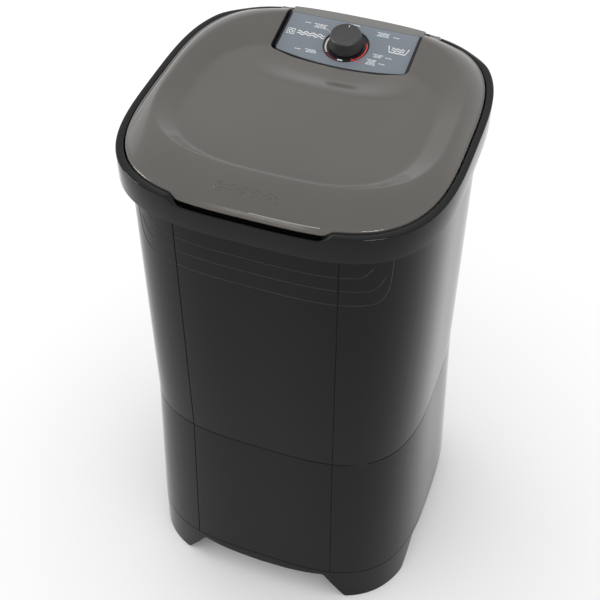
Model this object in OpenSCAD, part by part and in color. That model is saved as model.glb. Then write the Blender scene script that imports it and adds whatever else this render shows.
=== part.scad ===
// Free-standing top-loading mini washer: moulded cabinet panels on a four-footed base, a collar
// with a dished lid and a rear control console, a hanging wash tub, and a belt-driven pulsator.
// Origin: centre of the footprint on the floor. +Z up, front towards -Y.

/* [Overall] */
// Width of the collar, side to side
rim_w = 527; // [500:1:560]
// Depth of the collar, front to back
rim_d = 537; // [510:1:570]
// Height of the collar's flat top above the floor
rim_z = 970; // [940:1:1000]
// Squareness of every rounded-square outline
outline_n = 3.4; // [3:0.1:4]

/* [Cabinet] */
// Width of the upper cabinet
cab_w = 501; // [490:1:503]
// Depth of the upper cabinet
cab_d = 495; // [485:1:500]
// Growth of the lower cabinet from the waist seam to the base seam
flare = 1.052; // [1.02:0.001:1.056]
// Height of the waist seam
waist_z = 417; // [380:1:450]
// Height of the seam between base and cabinet
base_z = 84; // [80:1:90]
// Half distance between the two vertical seams of the front
seam_x = 129; // [110:1:140]
// Wall of the moulded panels
wall = 3; // [2:0.1:3.4]
// Gap at every panel seam
seam_gap = 1; // [0.6:0.1:1.4]

/* [Base] */
// Half width of the front arch at the floor
arch_x = 167; // [150:1:175]
// Half width of the side arch at the floor
arch_y = 151; // [140:1:160]
// Height of the arch at its middle
arch_z = 61; // [50:1:64]
// Thickness of a rubber foot pad
pad_h = 4; // [3:0.5:5]

/* [Collar] */
// Height of the collar's outer skirt
collar_h = 46; // [40:1:50]
// Width of the collar's flat top
collar_top = 11; // [9:0.5:12]
// Half width of the finger scoop at the front
scoop_x = 110; // [90:1:120]
// Depth of the finger scoop
scoop_dz = 10.5; // [6:0.5:12]

/* [Lid] */
// Gap between the lid and the collar
lid_gap = 3; // [2:0.5:4]
// Height of the dish's upper edge above the collar
dish_rise = 18; // [12:1:20]
// Height of the dish's floor above the collar
floor_rise = 3; // [0:1:6]
// Thickness of the lid
lid_t = 3; // [2.5:0.1:4]

/* [Console] */
// Half width of the console
console_x = 113.5; // [110:0.5:114]
// Height of the console's rear strip above the collar
console_rise = 9.5; // [8:0.5:11]
// Tilt of the control panel
panel_tilt = 10.5; // [8:0.5:12]
// Knob diameter at its foot
knob_d = 56; // [50:1:58]
// Knob height
knob_h = 23.5; // [18:0.5:26]

/* [Wash tub] */
// Half width of the tub's mouth
tub_a = 224; // [216:1:226]
// Half depth of the tub's mouth
tub_b = 164; // [156:1:166]
// Tub floor above the ground
tub_floor_z = 374; // [370:1:380]
// Pulsator diameter
pulsator_d = 236; // [200:1:240]

/* [Drive] */
// Pitch diameter of the driven pulley
driven_d = 168; // [150:1:172]
// Pitch diameter of the motor pulley
motor_pulley_d = 42; // [38:1:48]
// Distance between drive shaft and motor shaft
drive_cc = 218; // [212:1:222]
// Drive shaft diameter
shaft_d = 14; // [12:1:16]

/* [Hidden] */

// Outline resolution: points round the cabinet outline and round a lofted ring
side_n = 96;
loft_n = 72;
big = 900;

rim_a = rim_w / 2;
rim_b = rim_d / 2;
cab_a = cab_w / 2;
cab_b = cab_d / 2;
base_a = cab_a * flare;
base_b = cab_b * flare;
base_foot = 1.007;
skirt_z = rim_z - collar_h;
ledge_t = 4;
ledge_z = rim_z - 20;
inner_a = rim_a - collar_top;
inner_b = rim_b - collar_top;
lid_a = inner_a - lid_gap;
lid_b = inner_b - lid_gap;
lid_edge_z = rim_z + 2.5;
lid_low_z = rim_z - 12;
dish_a = 225;
dish_front = 171;
dish_back = 238;
dish_cy = -12;
dish_n = 2.9;
floor_a = 190;
floor_front = 164;
floor_back = 148;
floor_n = 3;
notch_x = console_x + 4;
notch_front = 119;
notch_side = 140;

hinge_y = rim_b - 15.5;
hinge_z = rim_z - 4;
knuckle_r = 4;
tab_x = 119;
tab_w = 20;
tab_mid = tab_x + tab_w / 2;
pin_r = 1.75;
pin_l = 28;
tab_gap = 0.8;
running = 0.05;

outlet_x = 100;
outlet_z = 122;
nozzle_r = 13;
gland_x = -90;
gland_z = 140;
gland_r = 9;
gland_bore = 4;
rear_face_y = 256;
vent_z = 300;
base_screw_r = 2.1;
boss_h = 12;
base_screw_places = [for (sx = [-1, 1], sy = [-1, 1]) each
    [[sx * (base_a - 11), sy * 70], [sx * 70, sy * (base_b - 11)]]];

console_front = 126;
console_side = 147;
panel_front_z = rim_z - 7.5;
strip_y = 229;
knob_y = 177;
knob_z = panel_front_z + (knob_y - console_front) * tan(panel_tilt);
dial_r = 38;
timer_shaft_r = 3;
timer_drop = 8;
timer_h = 34;
timer_ear = 44;

tub_cy = -55;
tub_bottom_a = 198;
tub_bottom_b = 142;
tub_wall = 3;
drain_x = 140;
drain_y = 0;
drain_pipe_z = tub_floor_z - 34;
seal_r = 17;
shaft_r = shaft_d / 2;
pulley_z = 262;
pulley_h = 20;
bracket_z = 292;
bracket_t = 3;
housing_low_z = bracket_z + bracket_t;
motor_y = tub_cy + drive_cc;
motor_r = 58;
motor_shaft_r = 5;
motor_low = bracket_z + bracket_t;
motor_h = 80;
cover_h = 20;
motor_bolt_r = 50;
filter_x = -(tub_bottom_a + 14);
filter_z = 640;
filter_h = 150;
filter_w = 92;

// Route of the drain hose, from the tub's elbow to the rear outlet
hose_route = [[140, 20, 340], [140, 30, 340], [140, 42, 340], [139, 70, 333], [136, 98, 316],
    [131, 124, 292], [124, 146, 262], [117, 163, 230], [110, 177, 198], [105, 189, 168],
    [101, 202, 142], [100, 214, 128], [100, 225, 123], [100, 232, 122], [100, 236, 122],
    [100, 244, 122]];
hose_r = 14;
hose_bore = 11.2;
spigot_r = 10.4;
// Route of the wiring, from the timer down the rear of the cabinet to the motor
wire_route = [[4, 168, 916], [14, 180, 919], [26, 196, 921], [34, 209, 918], [38, 213, 911],
    [39, 214, 902], [42, 223, 884], [46, 231, 856], [50, 232, 780], [54, 232, 700], [58, 232, 620],
    [60, 232, 540], [62, 232, 470], [62, 230, 430], [58, 224, 406], [46, 210, 394],
    [36, 198, 390], [28, 190, 385], [26, 187, 377]];
wire_r = 4;

// Rounded-square outline: half width a, half depth b, squareness n, centred on y = cy
function ring_r(a, b, n, t) = pow(pow(abs(cos(t)) / a, n) + pow(abs(sin(t)) / b, n), -1 / n);
function outline(a, b, n = outline_n, cy = 0, count = side_n) =
    [for (i = [0:count - 1]) let (t = 360 * i / count, r = ring_r(a, b, n, t))
        [r * cos(t), cy + r * sin(t)]];
// The same with different depths in front of and behind its centre
function ring_fb(a, bf, bb, n, cy, count) =
    [for (i = [0:count - 1]) let (t = 360 * i / count, r = ring_r(a, t > 180 ? bf : bb, n, t))
        [r * cos(t), cy + r * sin(t)]];
// Depth of the rounded square at a given x
function outline_y(a, b, x) = b * pow(1 - pow(abs(x) / a, outline_n), 1 / outline_n);

function at_z(points, z) = [for (p = points) [p[0], p[1], z]];

// Closed skin through a stack of rings with equal point counts; the first and last are capped
module loft(rings) {
    n = len(rings[0]);
    m = len(rings);
    points = [for (ring = rings) for (p = ring) p];
    sides = [for (k = [0:m - 2]) for (i = [0:n - 1]) let (j = (i + 1) % n)
        [k * n + i, (k + 1) * n + i, (k + 1) * n + j, k * n + j]];
    low = [for (i = [0:n - 1]) i];
    high = [for (i = [0:n - 1]) (m - 1) * n + n - 1 - i];
    polyhedron(points = points, faces = concat([low], sides, [high]), convexity = 8);
}

function unit(v) = v / norm(v);

// Rod swept along a route of points
module sweep(route, r, sides) {
    m = len(route);
    rings = [for (k = [0:m - 1])
        let (d = unit(route[min(k + 1, m - 1)] - route[max(k - 1, 0)]),
             u = unit([1, 0, 0] - d * d[0]), v = cross(d, u))
        [for (i = [0:sides - 1]) let (t = 360 * i / sides)
            route[k] + r * cos(t) * u + r * sin(t) * v]];
    loft(rings);
}

module ring2d(a, b, t) {
    difference() {
        polygon(outline(a, b));
        polygon(outline(a - t, b - t));
    }
}

// Plan area of one cabinet panel
module panel_area(which) {
    g = seam_gap / 2;
    if (which == "front") translate([g - seam_x, -big]) square([2 * (seam_x - g), big]);
    if (which == "rear") translate([g - seam_x, 0]) square([2 * (seam_x - g), big]);
    if (which == "right") translate([seam_x + g, -big]) square([big, 2 * big]);
    if (which == "left") translate([-seam_x - g - big, -big]) square([big, 2 * big]);
}

// ---------------------------------------------------------------- cabinet

module upper_panel(which) {
    h = ledge_z - waist_z - seam_gap / 2;
    translate([0, 0, waist_z + seam_gap / 2]) linear_extrude(h) intersection() {
        ring2d(cab_a, cab_b, wall);
        panel_area(which);
    }
}

module lower_panel(which) {
    h = waist_z - base_z - seam_gap;
    difference() {
        union() {
            translate([0, 0, base_z + seam_gap / 2]) linear_extrude(h, scale = 1 / flare)
                intersection() {
                    ring2d(base_a, base_b, wall);
                    scale(flare) panel_area(which);
                }
            translate([0, 0, base_z + seam_gap / 2]) linear_extrude(boss_h) intersection() {
                polygon(outline(base_a - wall / 2, base_b - wall / 2));
                scale(flare) panel_area(which);
                boss_area();
            }
        }
        for (p = base_screw_places) translate([p[0], p[1], base_z - 1])
            cylinder(r = base_screw_r, h = boss_h, $fn = 24);
    }
}

// Plan of the blocks that take the base screws
module boss_area() {
    for (p = base_screw_places) translate([p[0] - 9, p[1] - 9])
        square(18);
}

module upper_front_panel() { color("#26272a") upper_panel("front"); }
module upper_left_panel() { color("#26272a") upper_panel("left"); }
module upper_right_panel() { color("#26272a") upper_panel("right"); }
module upper_rear_panel() { color("#26272a") upper_panel("rear"); }
module lower_front_panel() { color("#242528") lower_panel("front"); }
module lower_left_panel() { color("#242528") lower_panel("left"); }
module lower_right_panel() { color("#242528") lower_panel("right"); }

module lower_rear_panel() {
    slots = 11;
    slot_pitch = 16;
    color("#242528") difference() {
        lower_panel("rear");
        translate([outlet_x, 0, outlet_z]) rotate([-90, 0, 0]) cylinder(r = nozzle_r + 0.2, h = big);
        translate([gland_x, 0, gland_z]) rotate([-90, 0, 0]) cylinder(r = gland_r + 0.2, h = big);
        for (k = [0:slots - 1]) translate([(k - (slots - 1) / 2) * slot_pitch - 2, 0, vent_z])
            cube([4, big, 34]);
    }
}

// Inner hoop that closes the waist seam from behind
module waist_ring() {
    h = 26;
    t = 2.5;
    color("#1d1d1f") translate([0, 0, waist_z - h / 2]) linear_extrude(h)
        ring2d(cab_a - wall - 0.2, cab_b - wall - 0.2, t);
}

// Strips behind the vertical seams; adjoining panels clip to them
module panel_joiners() {
    strip_w = 26;
    t = 2.5;
    low_h = waist_z - base_z - 20;
    high_z = waist_z + 16;
    color("#1d1d1f") {
        translate([0, 0, high_z]) linear_extrude(ledge_z - high_z - 2)
            seam_strips(cab_a, cab_b, seam_x, strip_w, t);
        translate([0, 0, base_z + seam_gap]) linear_extrude(low_h, scale = joiner_scale(low_h))
            seam_strips(base_a, base_b, seam_x * flare, strip_w, t);
    }
}

function joiner_scale(h) = 1 - (1 - 1 / flare) * h / (waist_z - base_z - seam_gap);

module seam_strips(a, b, x, w, t) {
    intersection() {
        ring2d(a - wall - 0.2, b - wall - 0.2, t);
        for (s = [-1, 1]) translate([s * x - w / 2, -big]) square([w, 2 * big]);
    }
}

// ---------------------------------------------------------------- base

// Half of an arched cut-out: foot slope, rounded shoulder, slightly bowed top
function arch_points(foot, top_z) =
    let (shoulder = foot - 45, rise = 11,
         side = concat([[foot, -1], [foot - 4, 3]],
             [for (k = [0:5]) let (t = 15 + 15 * k)
                 [shoulder - 4 + 16 * cos(t), top_z + rise - 14 + 14 * sin(t)]],
             [for (k = [1:5]) let (u = 1 - k / 5) [(shoulder - 4) * u, top_z + rise * u * u]]))
    concat(side, [for (k = [len(side) - 2:-1:0]) [-side[k][0], side[k][1]]]);

module base_shell(a, b, z0, z1) {
    translate([0, 0, z0]) linear_extrude(z1 - z0, scale = 1 / base_foot)
        polygon(outline(a * base_foot, b * base_foot));
}

module foot_corners(inset) {
    for (sx = [-1, 1], sy = [-1, 1]) scale([sx, sy])
        translate([arch_x - 2 + inset, arch_y - 2 + inset]) square(big);
}

module base_skirt() {
    skirt_low = 1;
    deck_t = 4;
    deck_w = 34;
    opening_n = 48;
    color("#232427") difference() {
        base_shell(base_a, base_b, skirt_low, base_z - seam_gap / 2);
        difference() {
            base_shell(base_a - 3.5, base_b - 3.5, skirt_low - 1, base_z - deck_t);
            translate([0, 0, pad_h]) linear_extrude(3) foot_corners(0);
            translate([0, 0, pad_h]) linear_extrude(base_z) difference() {
                foot_corners(0);
                foot_corners(3);
            }
        }
        translate([0, 0, base_z - deck_t - 1]) linear_extrude(big)
            polygon(outline(base_a - deck_w, base_b - deck_w, outline_n, 0, opening_n));
        rotate([90, 0, 0]) translate([0, 0, -big / 2]) linear_extrude(big)
            polygon(arch_points(arch_x, arch_z));
        rotate([90, 0, 90]) translate([0, 0, -big / 2]) linear_extrude(big)
            polygon(arch_points(arch_y, arch_z));
        for (p = base_screw_places) translate([p[0], p[1], base_z - 2 * deck_t])
            cylinder(r = base_screw_r, h = 4 * deck_t, $fn = 24);
    }
}

module foot_pads() {
    color("#161616") linear_extrude(pad_h) intersection() {
        polygon(outline(base_a - 9, base_b - 9));
        foot_corners(6);
    }
}

// Pan-head screw pointing up: head below z = 0
module screw_up(r, l, head_r, head_h) {
    cylinder(r = r, h = l, $fn = 24);
    translate([0, 0, -head_h]) cylinder(r = head_r, h = head_h, $fn = 24);
}

module base_screws() {
    color("silver") for (p = base_screw_places)
        translate([p[0], p[1], base_z - 4]) screw_up(base_screw_r, 14, 4.5, 2.6);
}

// ---------------------------------------------------------------- collar

trough_z = rim_z - 27;
trough_y = -inner_b + 8;
trough_t = 3;
skirt_t = 3.2;
scoop_end = 24;

// Front view of the finger scoop: flat bottom with ramps at both ends
module scoop_prism() {
    ramp = 20;
    z1 = rim_z - scoop_dz;
    translate([0, -inner_b + 26, 0]) rotate([90, 0, 0]) linear_extrude(big) polygon([
        [-scoop_x - ramp, rim_z + 5], [-scoop_x - ramp, rim_z],
        [-scoop_x - ramp * 0.6, rim_z - scoop_dz * 0.3], [-scoop_x - ramp * 0.3, z1 + 2],
        [-scoop_x, z1], [scoop_x, z1], [scoop_x + ramp * 0.3, z1 + 2],
        [scoop_x + ramp * 0.6, rim_z - scoop_dz * 0.3], [scoop_x + ramp, rim_z],
        [scoop_x + ramp, rim_z + 5]]);
}

// Well that the console's timer hangs in
well_x = 100;
well_y0 = 128;
well_y1 = 238;
well_z = rim_z - 62;
well_wall = 2.5;

module top_collar() {
    top_t = 4;
    color("#2b2c2f") difference() {
        union() {
            translate([0, 0, skirt_z]) linear_extrude(collar_h) ring2d(rim_a, rim_b, skirt_t);
            translate([0, 0, rim_z - top_t]) linear_extrude(top_t) ring2d(rim_a, rim_b, collar_top);
            translate([0, 0, ledge_z]) linear_extrude(rim_z - ledge_z)
                ring2d(inner_a + 3, inner_b + 3, 3);
            translate([0, 0, ledge_z]) linear_extrude(ledge_t) difference() {
                polygon(outline(inner_a + 2, inner_b + 2));
                polygon(outline(tub_a, tub_b, outline_n, tub_cy));
                translate([-well_x, well_y0]) square([2 * well_x, well_y1 - well_y0]);
            }
            scoop_trough();
            console_well();
            hinge_blocks();
        }
        scoop_prism();
        trough_space();
        hinge_pockets();
        for (s = [-1, 1]) translate([s * tab_mid, hinge_y, hinge_z])
            rotate([0, 90, 0]) cylinder(r = pin_r, h = pin_l, center = true, $fn = 32);
        for (p = collar_screw_places) translate([p[0], p[1], ledge_z - 1])
            cylinder(r = collar_screw_r, h = ledge_t + 2, $fn = 24);
        translate([38, 213, well_z - 1]) cylinder(r = 7, h = 6, $fn = 32);
    }
}

// Trough that the fingers reach into under the lid's lip: floor, back wall and ramped ends
module scoop_trough() {
    x = scoop_x + scoop_end;
    intersection() {
        translate([0, 0, trough_z]) linear_extrude(rim_z - trough_z) polygon(outline(rim_a, rim_b));
        union() {
            translate([-x, -big, trough_z]) cube([2 * x, big + trough_y, trough_t]);
            translate([-x, trough_y - trough_t, trough_z])
                cube([2 * x, trough_t, ledge_z + ledge_t - trough_z]);
            for (s = [-1, 1]) translate([s * (scoop_x + scoop_end / 2) - scoop_end / 2, -big, trough_z]) {
                cube([scoop_end, big + trough_y, ledge_z + ledge_t - trough_z]);
                cube([scoop_end, big - inner_b, big]);
            }
        }
    }
}

module trough_space() {
    translate([0, 0, trough_z + trough_t]) linear_extrude(collar_h) intersection() {
        polygon(outline(rim_a - skirt_t, rim_b - skirt_t));
        translate([-scoop_x, -big]) square([2 * scoop_x, big + trough_y - trough_t]);
    }
}

module console_well() {
    outer = [2 * (well_x + well_wall), well_y1 - well_y0 + 2 * well_wall, ledge_z + ledge_t - well_z];
    difference() {
        translate([-well_x - well_wall, well_y0 - well_wall, well_z]) cube(outer);
        translate([-well_x, well_y0, well_z + well_wall]) cube([2 * well_x, well_y1 - well_y0, big]);
    }
}

// Solid blocks at the rear that carry the hinge pins
module hinge_blocks() {
    intersection() {
        translate([0, 0, ledge_z]) linear_extrude(rim_z - ledge_z - 0.5)
            ring2d(rim_a, rim_b, collar_top + 1.5);
        for (s = [-1, 1]) translate([s * tab_mid - pin_l / 2, 0, 0]) cube([pin_l, big, 2 * big]);
    }
}

module hinge_pockets() {
    w = tab_w + 2 * tab_gap;
    for (s = [-1, 1]) translate([s * tab_mid, hinge_y, 0]) {
        translate([-w / 2, -20, ledge_z + ledge_t]) cube([w, 20, 40]);
        translate([0, 0, hinge_z]) rotate([0, 90, 0])
            cylinder(r = knuckle_r + tab_gap, h = w, center = true, $fn = 48);
        translate([-w / 2, 0, hinge_z]) cube([w, knuckle_r + tab_gap, 40]);
    }
}

// Screws through the ledge into the flange of the tub
collar_screw_r = 2.1;
collar_screw_places = [for (t = [0, 35, 145, 180, 215, 250, 290, 325])
    let (r = ring_r(tub_a + 6, tub_b + 6, outline_n, t)) [r * cos(t), tub_cy + r * sin(t)]];

module collar_screws() {
    color("silver") for (p = collar_screw_places) translate([p[0], p[1], ledge_z + ledge_t])
        mirror([0, 0, 1]) screw_up(collar_screw_r, 12, 4, 2);
}

// ---------------------------------------------------------------- lid

function dish_ring() = ring_fb(dish_a, dish_front, dish_back, dish_n, dish_cy, loft_n);
function floor_ring(k) = ring_fb(floor_a * k, floor_front * k, floor_back * k, floor_n, 0, loft_n);
function mix(p, q, u) = [for (i = [0:len(p) - 1]) p[i] * (1 - u) + q[i] * u];
function edge_ring(g) = outline(lid_a - g, lid_b - g, outline_n, 0, loft_n);

// Crown of the lid: outer edge, raised band, slope, and dished floor, lowered by t
function crown(t) = [
    at_z(edge_ring(0 + t), lid_edge_z - 2.5 - t / 3),
    at_z(edge_ring(1.5 + t), lid_edge_z - t),
    at_z(mix(edge_ring(t), dish_ring(), 0.55), lid_edge_z + 12 - t),
    at_z(mix(edge_ring(t), dish_ring(), 0.85), rim_z + dish_rise - 1 - t),
    at_z(dish_ring(), rim_z + dish_rise - t),
    at_z(mix(dish_ring(), floor_ring(1), 0.15), rim_z + dish_rise - 2 - t),
    at_z(mix(dish_ring(), floor_ring(1), 0.85), rim_z + floor_rise + 1.5 - t),
    at_z(floor_ring(1), rim_z + floor_rise - t)
];

function flip(v) = [for (i = [len(v) - 1:-1:0]) v[i]];

module lid_shell() {
    loft(concat([at_z(floor_ring(1), rim_z + floor_rise - lid_t)], flip(crown(lid_t)),
        [at_z(edge_ring(lid_t), lid_low_z), at_z(edge_ring(0), lid_low_z)], crown(0)));
}

// Plan of the opening that the console fits in: bowed front edge with rounded corners
function notch_points(x, y0, side, r) = concat([[x, big / 2], [x, side + r]],
    [for (k = [1:6]) let (t = -15 * k) [x - r + r * cos(t), side + r * sin(t) + r * 0.2]],
    [for (k = [1:9]) let (u = 1 - k / 5, y1 = side - r * 0.8) [u * (x - r), y1 - (y1 - y0) * (1 - u * u)]],
    [for (k = [6:-1:1]) let (t = -15 * k) [-x + r - r * cos(t), side + r * sin(t) + r * 0.2]],
    [[-x, side + r], [-x, big / 2]]);

module lid() {
    surround_z = rim_z + floor_rise;
    dip = 5;
    color("#6b6862") difference() {
        union() {
            difference() {
                union() {
                    lid_shell();
                    translate([0, 0, surround_z - dip - lid_t])
                        linear_extrude(dip + lid_t + 0.5) polygon(surround_points(0));
                    lid_lip();
                }
                translate([0, 0, surround_z - dip]) linear_extrude(60) polygon(surround_points(6));
                translate([0, 0, rim_z - 60]) linear_extrude(160)
                    polygon(notch_points(notch_x, notch_front, notch_side, 14));
            }
            for (s = [-1, 1]) translate([s * tab_mid, hinge_y, hinge_z]) hinge_lug();
        }
        for (s = [-1, 1]) translate([s * tab_mid, hinge_y, hinge_z]) rotate([0, 90, 0])
            cylinder(r = pin_r + running, h = 3 * tab_w, center = true, $fn = 32);
    }
}

// Plan of the shallow recess in front of the console, drawn in by g
function surround_points(g) = concat(
    [for (k = [0:18]) let (t = 180 + 10 * k) [(122 - g) * cos(t), 118 + (62 - g) * sin(t)]],
    [[122 - g, 150], [g - 122, 150]]);

// Pull lip that stands over the finger scoop
module lid_lip() {
    y0 = -lid_b + 6;
    reach = 9;
    intersection() {
        translate([0, y0, 0]) rotate([90, 0, 90]) translate([0, 0, -scoop_x + 4])
            linear_extrude(2 * scoop_x - 8) polygon([[8, rim_z + 1], [8, rim_z - 4], [-4, rim_z - 8.5],
                [-reach, rim_z - 7.5], [-reach, rim_z - 5.5], [-5, rim_z + 2.5], [2, rim_z + 4]]);
        translate([0, 0, rim_z - 40]) linear_extrude(60) polygon(outline(rim_a - 6, rim_b - 6));
    }
}

module hinge_lug() {
    rotate([0, 90, 0]) cylinder(r = knuckle_r, h = tab_w, center = true, $fn = 48);
    translate([-tab_w / 2, -16, -1]) cube([tab_w, 16, 4.5]);
}

module hinge_pins() {
    color("silver") for (s = [-1, 1]) translate([s * tab_mid, hinge_y, hinge_z])
        rotate([0, 90, 0]) cylinder(r = pin_r, h = pin_l - 1, center = true, $fn = 32);
}

module lid_buffers() {
    h = lid_low_z - ledge_z - ledge_t - 0.4;
    color("#3a3a3a") for (t = [50, 130, 225, 315])
        let (r = ring_r(lid_a - 1.5, lid_b - 1.5, outline_n, t))
            translate([r * cos(t), r * sin(t), ledge_z + ledge_t]) cylinder(r = 3, h = h, $fn = 32);
}

// ---------------------------------------------------------------- console

// Plan of the console: bowed front edge, sides, and a rear edge that follows the collar
function console_plan(g) = concat(
    [for (k = [-6:6]) let (x = -k * (console_x - g) / 6)
        [x, outline_y(rim_a, rim_b, x) - collar_top - 2 - g]],
    flip([for (p = notch_points(console_x - g, console_front + g, console_side + g, 12))
        if (p[1] < 200) p]));

// Solid under the console's top: tilted panel area and flat rear strip
module console_under(drop) {
    top_z = rim_z + console_rise - drop;
    front_z = panel_front_z - drop;
    rotate([90, 0, 90]) translate([0, 0, -big / 2]) linear_extrude(big) polygon([
        [60, rim_z - 100], [60, front_z - (console_front - 60) * tan(panel_tilt)],
        [strip_y, front_z + (strip_y - console_front) * tan(panel_tilt)],
        [strip_y + 1, top_z], [big, top_z], [big, rim_z - 100]]);
}

module console_housing() {
    foot_z = ledge_z + ledge_t;
    color("#83827e") difference() {
        intersection() {
            translate([0, 0, foot_z]) linear_extrude(80) polygon(console_plan(0));
            console_under(0);
        }
        intersection() {
            translate([0, 0, foot_z - 1]) linear_extrude(80) polygon(console_plan(3));
            console_under(5);
        }
        intersection() {
            translate([0, 0, foot_z]) linear_extrude(80) polygon(panel_plan(0));
            difference() {
                console_under(-20);
                console_under(2);
            }
        }
        dial_cut(dial_r + 0.1, 14);
        on_panel(-10) for (x = [-timer_ear, timer_ear]) translate([x, 0, 0])
            cylinder(r = 1.5, h = 6.8, $fn = 24);
    }
    color("#83827e") on_panel(-timer_drop) for (x = [-timer_ear, timer_ear]) translate([x, 0, 0])
        difference() {
            cylinder(r = 5, h = timer_drop - 4.4, $fn = 32);
            translate([0, 0, -1]) cylinder(r = 1.5, h = timer_drop, $fn = 24);
        }
}

// Plan of the printed control panel, inside the console's border
function panel_plan(g) = concat(
    [[console_x - 2.5 - g, strip_y - 2 - g], [-console_x + 2.5 + g, strip_y - 2 - g]],
    flip([for (p = notch_points(console_x - 2.5 - g, console_front + 3 + g, console_side + 3 + g, 12))
        if (p[1] < 200) p]));

module on_panel(h) {
    translate([0, knob_y, knob_z]) rotate([panel_tilt, 0, 0]) translate([0, 0, h]) children();
}

module dial_cut(r, h) {
    on_panel(-h / 2) cylinder(r = r, h = 2 * h, center = true, $fn = 64);
}

module control_panel() {
    color("#848c98") difference() {
        intersection() {
            translate([0, 0, ledge_z]) linear_extrude(80) polygon(panel_plan(0.3));
            difference() {
                console_under(0);
                console_under(1.9);
            }
        }
        dial_cut(dial_r + 0.2, 10);
    }
}

// Dark recessed ring round the knob
module dial_ring() {
    depth = 2.4;
    color("#2a2a2c") on_panel(0) difference() {
        translate([0, 0, -5]) cylinder(r = dial_r, h = 5, $fn = 64);
        translate([0, 0, -depth]) cylinder(r = 33, h = 10, $fn = 64);
        translate([0, 0, -20]) cylinder(r = 5.5, h = 40, $fn = 32);
    }
}

module timer_body() {
    color("#d8d6cc") on_panel(-timer_drop) difference() {
        union() {
            translate([-27, -27, -timer_h]) cube([54, 54, timer_h]);
            cylinder(r = 5, h = 3, $fn = 32);
            for (x = [-timer_ear, timer_ear]) translate([x - 5, -8, -5]) cube([10, 16, 5]);
            for (s = [-1, 1]) translate([s * 33 - 7, -8, -3]) cube([14, 16, 3]);
            for (x = [-18, -6, 6, 18]) translate([x - 3, -20, -timer_h - 7]) cube([6, 0.8, 7]);
        }
        translate([0, 0, -timer_h + 4]) cylinder(r = 22, h = 16, $fn = 48);
        translate([0, 0, -timer_h + 4]) cylinder(r = timer_shaft_r + running, h = 60, $fn = 32);
        for (x = [-timer_ear, timer_ear]) translate([x, 0, -7]) cylinder(r = 1.5, h = 12, $fn = 24);
    }
}

module timer_shaft() {
    flat = 1.4;
    color("silver") on_panel(-timer_drop) difference() {
        translate([0, 0, -timer_h + 5]) cylinder(r = timer_shaft_r, h = timer_h + 12, $fn = 32);
        translate([-5, timer_shaft_r - flat, 6]) cube([10, 5, 20]);
    }
}

module timer_cam() {
    lobes = 3;
    color("#c9a66b") on_panel(-timer_drop - timer_h + 6) difference() {
        union() {
            cylinder(r = 18, h = 10, $fn = 48);
            for (k = [0:lobes - 1]) rotate(360 * k / lobes) translate([17, 0, 0])
                cylinder(r = 3, h = 10, $fn = 24);
        }
        translate([0, 0, -1]) cylinder(r = timer_shaft_r, h = 12, $fn = 32);
    }
}

module timer_knob() {
    lift = 1.2;
    foot_r = knob_d / 2;
    top_r = foot_r - 3.2;
    bore_h = 9;
    color("#3d3d3d") on_panel(lift) difference() {
        rotate_extrude($fn = 96) polygon([[0, 0], [foot_r - 1, 0], [foot_r, 1],
            [top_r + 0.9, knob_h - 2.2], [top_r + 0.2, knob_h - 0.7], [top_r - 1.4, knob_h],
            [0, knob_h]]);
        translate([0, 0, -1]) difference() {
            cylinder(r = timer_shaft_r, h = bore_h, $fn = 32);
            translate([-5, timer_shaft_r - 1.4, 0]) cube([10, 5, 20]);
        }
        difference() {
            translate([0, 0, -1]) cylinder(r = foot_r - 5, h = 7, $fn = 64);
            translate([0, 0, -2]) cylinder(r = 7, h = 10, $fn = 48);
        }
    }
}

module timer_screws() {
    color("silver") on_panel(-timer_drop) for (x = [-timer_ear, timer_ear]) translate([x, 0, -5])
        screw_up(1.5, 9, 3.2, 2);
}

// ---------------------------------------------------------------- wash tub

function tub_ring(u, g) = outline(tub_a + (tub_bottom_a - tub_a) * u - g,
    tub_b + (tub_bottom_b - tub_b) * u - g, outline_n, tub_cy, loft_n);

module tub_block(g, low, high) {
    r = 26;
    loft([at_z(tub_ring(1, g + r * 0.9), low), at_z(tub_ring(1, g + r * 0.35), low + r * 0.3),
        at_z(tub_ring(1, g), low + r), at_z(tub_ring(0, g), high)]);
}

module wash_tub() {
    mouth_z = ledge_z - 0.2;
    color("#dcdcd8") difference() {
        union() {
            tub_block(-tub_wall, tub_floor_z - tub_wall, mouth_z);
            translate([0, 0, mouth_z - 4]) linear_extrude(4)
                polygon(outline(tub_a + 12, tub_b + 12, outline_n, tub_cy));
            translate([0, tub_cy, tub_floor_z - 12]) cylinder(r = 58, h = 12, $fn = 64);
        }
        tub_block(0, tub_floor_z, mouth_z + 1);
        translate([0, tub_cy, tub_floor_z - 20]) cylinder(r = seal_r + 0.2, h = 40, $fn = 48);
        translate([drain_x, drain_y, tub_floor_z - 10]) cylinder(r = 15, h = 20, $fn = 48);
        for (p = collar_screw_places) translate([p[0], p[1], mouth_z - 14])
            cylinder(r = collar_screw_r, h = 20, $fn = 24);
        for (t = [45:90:315]) translate([46 * cos(t), tub_cy + 46 * sin(t), tub_floor_z - 13])
            cylinder(r = 2.6, h = 11, $fn = 24);
    }
}

// Lint filter: channel on the tub's left wall and a mesh frame that lifts out of it
module filter_guide() {
    t = 2.5;
    depth = 24;
    side_h = filter_h * 0.7;
    color("#cfcfca") intersection() {
        tub_block(0.1, tub_floor_z, ledge_z);
        translate([filter_x, tub_cy - filter_w / 2, filter_z]) {
            translate([-t, -t, -t]) cube([depth + t, filter_w + 2 * t, t]);
            for (y = [-t, filter_w]) translate([-10, y, -t]) cube([depth + 10, t, side_h]);
            for (y = [-t, filter_w - 5]) translate([depth - t, y, -t]) cube([t, 5 + t, side_h]);
        }
    }
}

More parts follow.
